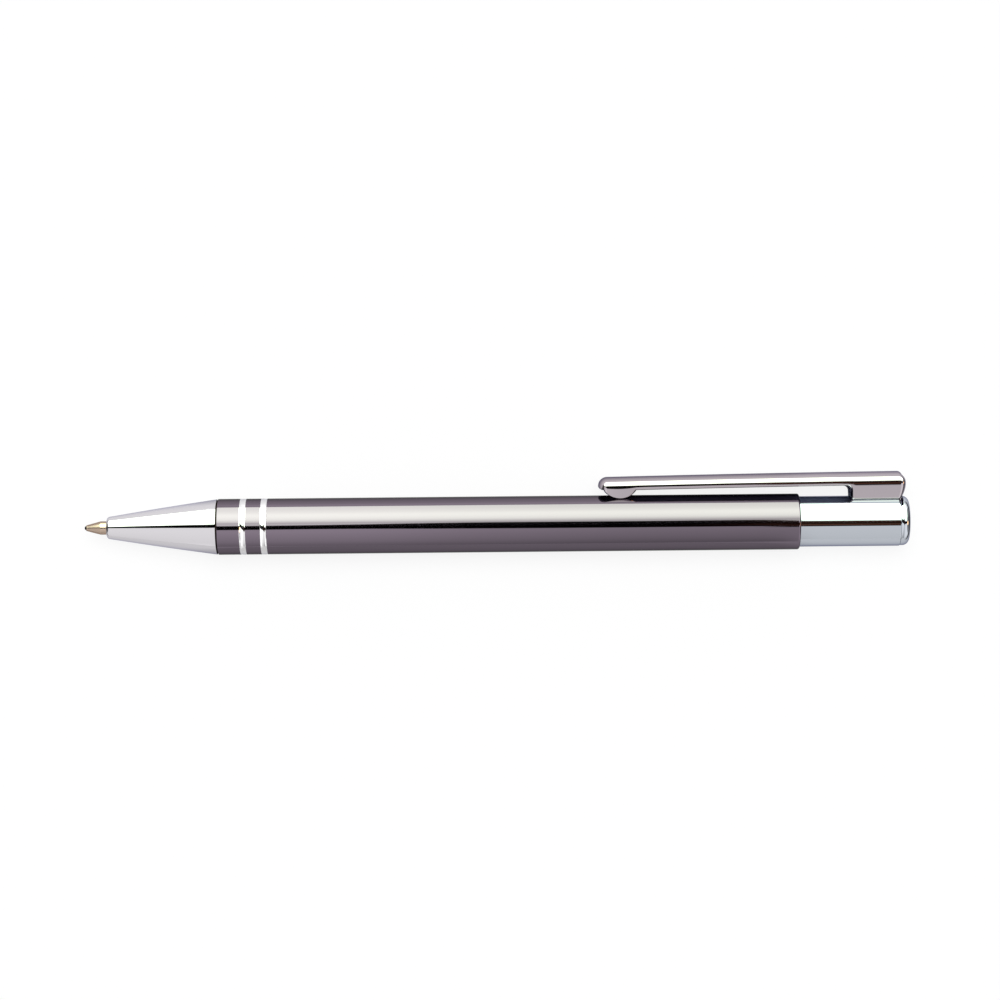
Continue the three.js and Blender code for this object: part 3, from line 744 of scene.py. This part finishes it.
# Chromium plate on the drawn tube and the cap: cooler and darker than nickel
TUBE_PLATE = metal("chromium_plate_drawn_tube", "#C5CAD2", "#9E9FB2", 0.04, 0.01, 0.15, 0.0002)
# Chromium plate on the pressed steel clip: slightly warm
CLIP_PLATE = metal("chromium_plate_pressed_sheet", "#BAB1B7", "#8C8A9C", 0.045, 0.01, 0.2, 0.0003)
# The inside of the clip, plated but left as pressed: dull, and dark as painted shade within the channel
CLIP_INSIDE_SHADE = metal("chromium_plate_unpolished_painted_shade", "#82859A", "#6C6E84", 0.5, 0.04, 0.2, 0.001)
# Turned brass left bare in the nose's undercut, very dark brown as painted shade in the gap between nose
# and barrel: dull
UNDERCUT_SHADE = metal("brass_undercut_painted_shade", "#2A211C", "#2A211C", 0.6, 0.04, 0.15, 0.001)
# Nickel silver, turned: a pale gold metal with fine tool marks
NICKEL_SILVER = metal("nickel_silver_turned", "#B4A090", "#98867A", 0.16, 0.04, 0.08, 0.001)
# Tungsten carbide ball, ground: dark, with a dull shine
CARBIDE = metal("tungsten_carbide_ground", "#141316", "#1C1C20", 0.35, 0.03, 0.05, 0.0005)
# Spring steel wire, drawn: grey, with a soft shine
SPRING_STEEL = metal("spring_steel_drawn_wire", "#A9A9A6", "#8E8E8E", 0.28, 0.04, 0.1, 0.001)
# Brass bush, turned and left bare: yellow, with visible tool marks
BUSH_BRASS = metal("brass_turned", "#C9AC66", "#A98A4A", 0.3, 0.05, 0.15, 0.002)
# Cartridge tube, drawn steel: pale grey, with a soft shine
CARTRIDGE = metal("steel_drawn_cartridge", "#B5B7B8", "#8F9092", 0.26, 0.04, 0.3, 0.001)
# Acetal of the click mechanism, moulded: waxy black and waxy white
CAM_ACETAL = moulded("acetal_moulded_black", "#26262A", 0.42, 0.3)
GUIDE_ACETAL = moulded("acetal_moulded_white", "#E2E0D8", 0.42, 0.3)
# Polypropylene plug, moulded: blue, with a dull shine
PLUG_PLASTIC = moulded("polypropylene_moulded_blue", "#2C4F8F", 0.4, 0.3)
# Ink paste: nearly black, and glossy as it is wet
INK = moulded("ink_paste_blue_black", "#101430", 0.12, 0.8)


def dress(piece, body, slot, nodes, *finishes):
    """Gives a new piece its finishes and its body, and hides the nodes that it stands for; its slot is not
    used.
    """
    for finish in finishes:
        piece.data.materials.append(finish)
    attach(piece, body)
    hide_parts(*nodes)
    return piece


def face_values(piece, kind):
    """The centres or the normals of a piece's faces, as three arrays along the frame's axes."""
    values = np.zeros(len(piece.data.polygons) * 3)
    piece.data.polygons.foreach_get(kind, values)
    return values[0::3], values[1::3], values[2::3]


def face_places(piece):
    """Stations, heights and depths of the centres of a piece's faces, in millimetres."""
    x, y, z = face_values(piece, "center")
    return (x - PEN_FRONT) / MM, (y - AXIS_HEIGHT) / MM, (z - AXIS_DEPTH) / MM


def second_finish(piece, chosen):
    """Gives the chosen faces of a piece its second finish, and the others its first."""
    piece.data.polygons.foreach_set("material_index", chosen.astype(np.int32))


def cut_bright(piece):
    """Gives the faces of the barrel's two rings, with their seams, the second finish."""
    station, height, depth = face_places(piece)
    first = RING_RIM + SEAM_WIDTH + FIRST_CROWN
    second = SECOND_CROWN + SEAM_WIDTH
    bright = np.zeros(len(station), bool)
    for offset, width in ((FIRST_RING, first), (SECOND_RING, second)):
        bright |= (station > BARREL_FRONT + offset) & (station < BARREL_FRONT + offset + width)
    second_finish(piece, bright & (np.hypot(height, depth) > (BARREL_RADIUS + BARREL_BORE) / 2))


# The slot's faces have their centres between these stations and radii
UNDERCUT_FRONT = NOSE_FRONT + NOSE_LENGTH - NOSE_REAR_SLOT - 0.01
UNDERCUT_REAR = NOSE_FRONT + NOSE_LENGTH + 0.05
UNDERCUT_RIM = NOSE_REAR_RADIUS - 0.02


def shade_undercut(piece):
    """Gives the faces of the slot behind the nose's cone the second finish, a very dark painted shade."""
    station, height, depth = face_places(piece)
    radius = np.hypot(height, depth)
    bare = (station > UNDERCUT_FRONT) & (station < UNDERCUT_REAR)
    second_finish(piece, bare & (radius > SPIGOT_RADIUS) & (radius < UNDERCUT_RIM))


# The line inside the channel that its inner faces look at: its ends, and its height over the arm's edge
INSIDE_FRONT = CLIP_TIP + 2 * CLIP_SHEET
INSIDE_REAR = CLIP_REAR - 4 * CLIP_SHEET
INSIDE_RISE = 0.2


def dull_and_shade_inside(piece):
    """Gives the clip's inner faces, which look towards the middle of the channel, the second finish, dull
    and darker as painted shade.
    """
    station, height, depth = face_places(piece)
    above = height - clip_height(station) + ARM_DEPTH - INSIDE_RISE
    beyond = station - np.clip(station, INSIDE_FRONT, INSIDE_REAR)
    x, y, z = face_values(piece, "normal")
    second_finish(piece, beyond * x + above * y + depth * z < 0)


barrel_piece = dress(barrel_tube(), "barrel", "anodised_barrel", ["barrel"], ANODISED, BRIGHT_CUT)
cut_bright(barrel_piece)
# The slot behind the nose's cone is painted very dark, as the shade between nose and barrel
nose_piece = dress(nose_shell(), "nose", "nose_plate", ["nose_cone"], NOSE_PLATE, UNDERCUT_SHADE)
shade_undercut(nose_piece)
dress(nose_thread(), "nose", "nose_plate", ["nose_cone"], NOSE_PLATE)
dress(point_body(), "refill", "nickel_silver", ["refill_point"], NICKEL_SILVER)
dress(point_ball(), "ball", "ball_carbide", ["writing_ball"], CARBIDE)
dress(plunger_shell(), "plunger", "chrome_plate", ["plunger_tube"], TUBE_PLATE)
dress(end_cap_shell(), "plunger", "chrome_plate", ["end_cap"], TUBE_PLATE)
# The clip's inside is darker than its outside, as painted shade within the channel
clip_piece = dress(clip_channel(), "clip", "chrome_plate", ["clip"], CLIP_PLATE, CLIP_INSIDE_SHADE)
dull_and_shade_inside(clip_piece)
dress(spring_wire(), "spring", "spring_wire", ["return_spring"], SPRING_STEEL)

INNER_FINISHES = {
    "thread_bush": BUSH_BRASS,
    "guide_sleeve": GUIDE_ACETAL,
    "refill_tube": CARTRIDGE,
    "ink_column": INK,
    "refill_plug": PLUG_PLASTIC,
    "cam_rotor": CAM_ACETAL,
    "thrust_sleeve": CAM_ACETAL,
}
for node, finish in INNER_FINISHES.items():
    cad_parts[node].data.materials.clear()
    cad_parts[node].data.materials.append(finish)


# Studio

WHITE = (1.0, 1.0, 1.0, 1.0)
WHITE_LEVEL = 1.0

# The tent that shiny things mirror. A way into it has an x along the pen, a y to the clip's side and
# a z up. Its slopes are x / z along the pen and y / z across it, where z counts as at least this
RISE_LEAST = 0.05
# The curves below are (place, height) points from 0 to 1. Along the pen, the places cover this range
MIDDLE_RANGE = (-0.5, 0.5)

WALL_PEAK = 1.2
# The walls' level round the pen, from the far side of the clip through the zenith to the clip's side
WALL_ROUND = [(0, 0.5), (0.05, 0.56), (0.12, 0.7), (0.2, 0.81), (0.3, 0.92), (0.39, 1), (1, 1)]
# The walls' level along the pen, by x
WALL_ALONG = [(0, 0.84), (0.17, 0.84), (0.24, 1), (0.42, 1), (0.5, 0.82), (0.58, 0.72), (0.64, 0.72)]
WALL_ALONG += [(0.75, 0.95), (1, 1)]
# How much of the fall towards the far side shows, by x
FALL_ALONG = [(0, 0.2), (0.17, 0.2), (0.28, 0.1), (0.4, 1), (0.588, 1), (0.6, 0.15), (1, 0.1)]
# The y over which that fall ends
FALL_END = (-0.1, 0.1)

# The softbox's green evens out the violet of the metal, so its band looks neutral
SOFTBOX_TINT = (0.79, 1.0, 0.71, 1.0)
SOFTBOX_PEAK = 4.7
# The softbox's level, as a share of its peak, from the zenith to the horizon on the clip's side
SOFTBOX = [(0, 0), (0.02, 0.3), (0.09, 0.34), (0.135, 0.27), (0.17, 0.42), (0.24, 0.66), (0.31, 0.85)]
SOFTBOX += [(0.4, 0.95), (0.5, 1), (0.67, 0.87), (0.8, 0.78), (1, 0.7)]
# Its lower edge, over this z, which rises with the square of x, and its weaker end over the pen's front
SILL = (0.03, 0.05)
SILL_BEND = 0.9
SOFTBOX_WEAK = (-0.58, -0.45)
SOFTBOX_WEAK_SHARE = 0.25

# The dark gap overhead, by the slope along: its middle, plus this shift, and its half width, both as
# slopes across
GAP_SHIFT = 0.5
GAP_MIDDLE = [(0, 0.585), (0.09, 0.57), (0.3, 0.46), (0.41, 0.41), (0.45, 0.432), (0.485, 0.439)]
GAP_MIDDLE += [(0.52, 0.424), (0.55, 0.414), (0.588, 0.42), (0.6, 0.31), (1, 0.31)]
GAP_HALF = [(0, 0.12), (0.09, 0.12), (0.3, 0.137), (0.41, 0.135), (0.44, 0.138), (0.485, 0.205)]
GAP_HALF += [(0.52, 0.22), (0.588, 0.22), (0.6, 0.215), (0.64, 0.215), (0.72, 0.12), (1, 0.1)]
# Its soft edge, in half widths from its middle
GAP_EDGE = (0.93, 1.18)

# The warm room seen through the gap, by the slope along and by the place across, over these half widths
ROOM_TINT = (1.0, 0.42, 0.24, 1.0)
ROOM_LEVEL = 0.13
ROOM_ALONG = [(0, 0), (0.53, 0), (0.58, 0.3), (0.6, 1), (0.64, 1), (0.7, 0), (1, 0)]
ROOM_WIDTH = (-1.2, 1.2)
ROOM_ACROSS = [(0, 0), (0.18, 0), (0.3, 1), (0.42, 0.5), (0.6, 0.15), (0.8, 0.5), (1, 0.6)]

# The black card before the pen's front: it starts over this x and ends over this y to both sides
FRONT_CARD = (-0.78, -0.64)
FRONT_CARD_SIDES = (0.42, 0.56)
# The card behind its rear, with the light that gets past it, and its share at both sides, each over a y
REAR_CARD = (0.7, 0.84)
REAR_CARD_LIGHT = 0.02
REAR_CARD_FAR_SIDE = (-0.7, -0.55)
REAR_CARD_FAR_SHARE = 0.1
REAR_CARD_CLIP_SIDE = (0.6, 0.75)
REAR_CARD_CLIP_SHARE = 0.3
# A faint light beyond both cards, which metal mirrors to the pen's ends: over this x and below this z
END_LEVEL = 0.22
END_START = (0.78, 0.9)
END_TOP = (0.24, 0.45)

# A small warm lamp beyond the pen's rear: the way to it, and the cosine over which it fades in
LAMP_TINT = (1.0, 0.58, 0.26, 1.0)
LAMP_WAY = (0.89, -0.15, 0.43)
LAMP_EDGE = (0.988, 0.995)
LAMP_PEAK = 4

# The even sky that matt things see, and its brighter panel: the way to it and the cosine of its edge
SKY_LEVEL = 0.45
PANEL_WAY = (0.0, 0.26, 0.966)
PANEL_EDGE = (0.9, 0.97)
PANEL_LEVEL = 5.4


def through(node, points):
    """Gives a curve node a line through (place, height) points, which never overshoots them."""
    line = node.mapping.curves[0]
    while len(line.points) < len(points):
        line.points.new(0.5, 0.5)
    for point, place in zip(line.points, points):
        point.location = place
        point.handle_type = "AUTO_CLAMPED"
    node.mapping.update()
    return node


def walls(tree, y, side, along):
    """The walls' level: round the pen it falls towards the far side, by an amount that varies along it."""
    turn = add(tree, RANGE, side, -math.pi / 2, math.pi / 2, 0, 1)
    level = through(add(tree, CURVE, Value=turn), WALL_ROUND)
    fall = add(tree, MATHS, level, 1, operation="SUBTRACT")
    showing = through(add(tree, CURVE, Value=along), FALL_ALONG)
    fall = add(tree, MATHS, fall, showing, operation="MULTIPLY")
    clip_side = add(tree, RANGE, y, *FALL_END, 0, 1, **SMOOTH)
    far_side = add(tree, RANGE, clip_side, 0, 1, 1, 0, **SMOOTH)
    fall = add(tree, MATHS, fall, far_side, operation="MULTIPLY")
    level = add(tree, MATHS, fall, 1, operation="ADD")
    level_along = through(add(tree, CURVE, Value=along), WALL_ALONG)
    level = add(tree, MATHS, level, level_along, operation="MULTIPLY")
    return add(tree, MATHS, level, WALL_PEAK, operation="MULTIPLY")


def softbox(tree, x, z, side):
    """The softbox's level: by the height on the clip's side, over a bent sill and weaker at one end."""
    turn = add(tree, RANGE, side, 0, math.pi / 2, 0, 1)
    level = through(add(tree, CURVE, Value=turn), SOFTBOX)
    bend = add(tree, MATHS, x, x, operation="MULTIPLY")
    bend = add(tree, MATHS, bend, SILL_BEND, operation="MULTIPLY")
    over_sill = add(tree, MATHS, z, bend, operation="SUBTRACT")
    over_sill = add(tree, RANGE, over_sill, *SILL, 0, SOFTBOX_PEAK, **SMOOTH)
    level = add(tree, MATHS, level, over_sill, operation="MULTIPLY")
    weak_end = add(tree, RANGE, x, *SOFTBOX_WEAK, SOFTBOX_WEAK_SHARE, 1, **SMOOTH)
    return add(tree, MATHS, level, weak_end, operation="MULTIPLY")


def gap_place(tree, y, rise, sideways):
    """Place across the dark gap, from -1 at its far edge to 1 at its edge on the clip's side."""
    across = add(tree, MATHS, y, rise, operation="DIVIDE")
    middle = through(add(tree, CURVE, Value=sideways), GAP_MIDDLE)
    middle = add(tree, MATHS, middle, GAP_SHIFT, operation="SUBTRACT")
    place = add(tree, MATHS, across, middle, operation="SUBTRACT")
    half = through(add(tree, CURVE, Value=sideways), GAP_HALF)
    return add(tree, MATHS, place, half, operation="DIVIDE")


def room(tree, place, outside_gap, sideways):
    """The warm room's level, inside the gap alone."""
    level = add(tree, RANGE, outside_gap, 0, 1, ROOM_LEVEL, 0, **SMOOTH)
    level_along = through(add(tree, CURVE, Value=sideways), ROOM_ALONG)
    level = add(tree, MATHS, level, level_along, operation="MULTIPLY")
    across = add(tree, RANGE, place, *ROOM_WIDTH, 0, 1)
    level_across = through(add(tree, CURVE, Value=across), ROOM_ACROSS)
    return add(tree, MATHS, level, level_across, operation="MULTIPLY")


def past_cards(tree, x, y):
    """The share of the tent's light that the two black cards beyond the pen's ends leave."""
    beside = add(tree, MATHS, y, operation="ABSOLUTE")
    beside = add(tree, RANGE, beside, *FRONT_CARD_SIDES, 1, 0, **SMOOTH)
    front = add(tree, RANGE, x, *FRONT_CARD, 1, 0, **SMOOTH)
    front = add(tree, MATHS, front, beside, operation="MULTIPLY")
    far_side = add(tree, RANGE, y, *REAR_CARD_FAR_SIDE, REAR_CARD_FAR_SHARE, 1, **SMOOTH)
    clip_side = add(tree, RANGE, y, *REAR_CARD_CLIP_SIDE, 1, REAR_CARD_CLIP_SHARE, **SMOOTH)
    beside = add(tree, MATHS, far_side, clip_side, operation="MULTIPLY")
    rear = add(tree, RANGE, x, *REAR_CARD, 0, 1, **SMOOTH)
    rear = add(tree, MATHS, rear, beside, operation="MULTIPLY")
    past_front = add(tree, RANGE, front, 0, 1, 1, 0)
    past_rear = add(tree, RANGE, rear, 0, 1, 1, REAR_CARD_LIGHT)
    return add(tree, MATHS, past_front, past_rear, operation="MULTIPLY")


def beyond_ends(tree, x, z):
    """The level of the faint light beyond both ends, low over the floor."""
    beyond = add(tree, MATHS, x, operation="ABSOLUTE")
    beyond = add(tree, RANGE, beyond, *END_START, 0, 1, **SMOOTH)
    low = add(tree, RANGE, z, *END_TOP, END_LEVEL, 0, **SMOOTH)
    return add(tree, MATHS, beyond, low, operation="MULTIPLY")


def studio():
    """The world: shiny things mirror a light tent, matt things see an even sky, and the camera sees white.

    The tent has pale walls, a softbox on the clip's side, a dark gap overhead with a warm room behind it,
    a black card beyond each end of the pen, a faint light beyond the cards and a small warm lamp.
    """
    world = bpy.data.worlds.new("light_tent")
    bpy.context.scene.world = world
    world.use_nodes = True
    tree = world.node_tree
    tree.nodes.clear()
    way = add(tree, PLACE).outputs["Generated"]
    x, y, z = add(tree, AXES, way).outputs
    rise = add(tree, MATHS, z, RISE_LEAST, operation="MAXIMUM")
    side = add(tree, MATHS, y, rise, operation="ARCTAN2")
    along = add(tree, RANGE, x, *MIDDLE_RANGE, 0, 1)
    sideways = add(tree, MATHS, x, rise, operation="DIVIDE")
    sideways = add(tree, RANGE, sideways, *MIDDLE_RANGE, 0, 1)
    place = gap_place(tree, y, rise, sideways)
    outside_gap = add(tree, MATHS, place, operation="ABSOLUTE")
    outside_gap = add(tree, RANGE, outside_gap, *GAP_EDGE, 0, 1, **SMOOTH)
    lit = add(tree, MATHS, outside_gap, past_cards(tree, x, y), operation="MULTIPLY")
    wall_level = add(tree, MATHS, walls(tree, y, side, along), lit, operation="MULTIPLY")
    wall_level = add(tree, MATHS, wall_level, beyond_ends(tree, x, z), operation="MAXIMUM")
    box_level = add(tree, MATHS, softbox(tree, x, z, side), lit, operation="MULTIPLY")
    lamp = add(tree, ANGLE, way, LAMP_WAY, **COSINE).outputs["Value"]
    lamp_level = add(tree, RANGE, lamp, *LAMP_EDGE, 0, LAMP_PEAK, **SMOOTH)
    room_level = room(tree, place, outside_gap, sideways)
    tent = add(tree, LIGHT, WHITE, wall_level)
    for tint, level in ((SOFTBOX_TINT, box_level), (LAMP_TINT, lamp_level), (ROOM_TINT, room_level)):
        tent = add(tree, "ShaderNodeAddShader", tent, add(tree, LIGHT, tint, level))

    panel = add(tree, ANGLE, way, PANEL_WAY, **COSINE).outputs["Value"]
    sky = add(tree, LIGHT, WHITE, add(tree, RANGE, panel, *PANEL_EDGE, SKY_LEVEL, PANEL_LEVEL, **SMOOTH))
    rays = add(tree, "ShaderNodeLightPath").outputs
    seen = add(tree, MATHS, rays["Is Camera Ray"], rays["Is Transmission Ray"], operation="MAXIMUM")
    unmirrored = add(tree, MIX, seen, sky, add(tree, LIGHT, WHITE, WHITE_LEVEL))
    add(tree, "ShaderNodeOutputWorld", add(tree, MIX, rays["Is Glossy Ray"], unmirrored, tent))


# Floor, half its length in metres, and the share of its own white as the camera and as metal see it
FLOOR_HALF = 1.5
FLOOR_GLOW = 0.84
FLOOR_GLOW_IN_METAL = 0.8
FIBRE_CELLS = 900.0
FIBRE_DEPTH = 0.02 * MM
# Its levels as metal mirrors it, beside the pen's middle and its ends, and the y over which they change:
# painted shade on the far side and painted light on the clip's side
FLOOR_LEVELS = (0.5, 1.2)
FLOOR_SIDES = (-0.02, 0.06)
FLOOR_LEVELS_AT_ENDS = (0.78, 1.0)
FLOOR_SIDES_AT_ENDS = (-0.01, 0.008)
FLOOR_ENDS_START = (0.047, 0.055)
# Dark reflections painted on it beyond the pen's ends, as black cards that metal alone mirrors: level,
# start along and edges aside
CARD_LEVEL = 0.03
CARD_START = (0.073, 0.085)
CARD_SIDES = (0.03, 0.045)


def floor_dark_reflection(tree, along, y):
    """1 on the painted dark reflections beyond the pen's ends and 0 off them."""
    beside = add(tree, MATHS, y, operation="ABSOLUTE")
    beside = add(tree, RANGE, beside, *CARD_SIDES, 1, 0, **SMOOTH)
    beyond = add(tree, RANGE, along, *CARD_START, 0, 1, **SMOOTH)
    return add(tree, MATHS, beside, beyond, operation="MULTIPLY")


def mirrored_floor_light_and_shade(tree, along, y):
    """The floor's level as metal mirrors it: dimmer on the far side as painted shade, brighter on the
    clip's side as painted light.
    """
    at_ends = add(tree, RANGE, along, *FLOOR_ENDS_START, 0, 1, **SMOOTH)
    in_middle = add(tree, RANGE, at_ends, 0, 1, 1, 0)
    middle = add(tree, RANGE, y, *FLOOR_SIDES, *FLOOR_LEVELS)
    middle = add(tree, MATHS, middle, in_middle, operation="MULTIPLY")
    ends = add(tree, RANGE, y, *FLOOR_SIDES_AT_ENDS, *FLOOR_LEVELS_AT_ENDS, **SMOOTH)
    ends = add(tree, MATHS, ends, at_ends, operation="MULTIPLY")
    return add(tree, MATHS, middle, ends, operation="ADD")


def floor():
    """A plain white paper floor under the pen, partly of its own white, which keeps a faint shadow.

    Its levels, painted light and shade, and the dark reflections painted as black cards beyond the pen's
    ends show in metal alone.
    """
    made, tree = material("paper_white_matt")
    place = add(tree, PLACE).outputs["Object"]
    x, y, _ = add(tree, AXES, place).outputs
    fibre = add(tree, NOISE, place, Scale=FIBRE_CELLS, Detail=2.0)
    relief = add(tree, BUMP, Strength=0.05, Distance=FIBRE_DEPTH, Height=fibre)
    matt = {"Roughness": 0.95, "Specular_IOR_Level": 0.1}
    paper = add(tree, SURFACE, Base_Color=linear("#FCFCFC"), Normal=relief, **matt)
    rays = add(tree, "ShaderNodeLightPath").outputs
    mirrored = rays["Is Glossy Ray"]
    along = add(tree, MATHS, x, operation="ABSOLUTE")
    # Metal alone sees painted shade and light on the floor, and painted dark reflections beyond the pen's
    # ends
    card = floor_dark_reflection(tree, along, y)
    past_dark_reflection = add(tree, RANGE, card, 0, 1, 1, CARD_LEVEL)
    level = add(tree, MATHS, mirrored_floor_light_and_shade(tree, along, y), past_dark_reflection, operation="MULTIPLY")
    level = add(tree, MATHS, mirrored, level, operation="MULTIPLY")
    unmirrored = add(tree, RANGE, mirrored, 0, 1, 1, 0)
    level = add(tree, MATHS, unmirrored, level, operation="ADD")
    white = add(tree, "ShaderNodeEmission", WHITE, level)
    seen = add(tree, MATHS, rays["Is Camera Ray"], rays["Is Transmission Ray"], operation="MAXIMUM")
    seen = add(tree, MATHS, seen, FLOOR_GLOW, operation="MULTIPLY")
    in_metal = add(tree, RANGE, card, 0, 1, FLOOR_GLOW_IN_METAL, 1)
    in_metal = add(tree, MATHS, mirrored, in_metal, operation="MULTIPLY")
    share = add(tree, MATHS, seen, in_metal, operation="MAXIMUM")
    add(tree, "ShaderNodeOutputMaterial", add(tree, MIX, share, paper, white))
    half = FLOOR_HALF
    corners = [(-half, -half, 0), (half, -half, 0), (half, half, 0), (-half, half, 0)]
    mesh = bpy.data.meshes.new("floor")
    mesh.from_pydata(corners, [], [(0, 1, 2, 3)])
    mesh.materials.append(made)
    plane = bpy.data.objects.new("floor", mesh)
    bpy.context.scene.collection.objects.link(plane)


# Camera: straight above, with the photograph's scale, place and small tilt
VIEW_DISTANCE = 0.515
PIXELS = 1000
PIXELS_PER_MM = 6.01
PEN_FRONT_PIXEL = 84.5
AXIS_PIXEL = 524.24
CAMERA_ROLL = math.radians(-0.545)
SENSOR = 36.0
NEAREST = 0.01
FARTHEST = 10.0


def camera():
    """The camera, whose field is as wide as the picture at the pen's axis."""
    data = bpy.data.cameras.new("camera")
    data.sensor_width = SENSOR
    data.lens = SENSOR * VIEW_DISTANCE * PIXELS_PER_MM / MM / PIXELS
    data.clip_start = NEAREST
    data.clip_end = FARTHEST
    item = bpy.data.objects.new("camera", data)
    middle = PEN_FRONT + (PIXELS / 2 - PEN_FRONT_PIXEL) / PIXELS_PER_MM * MM
    above = AXIS_HEIGHT + (AXIS_PIXEL - PIXELS / 2) / PIXELS_PER_MM * MM
    item.location = (middle, above, AXIS_DEPTH + VIEW_DISTANCE)
    item.rotation_euler = (0, 0, CAMERA_ROLL)
    bpy.context.scene.collection.objects.link(item)
    bpy.context.scene.camera = item


studio()
floor()
camera()
bpy.context.scene.view_settings.view_transform = "Standard"
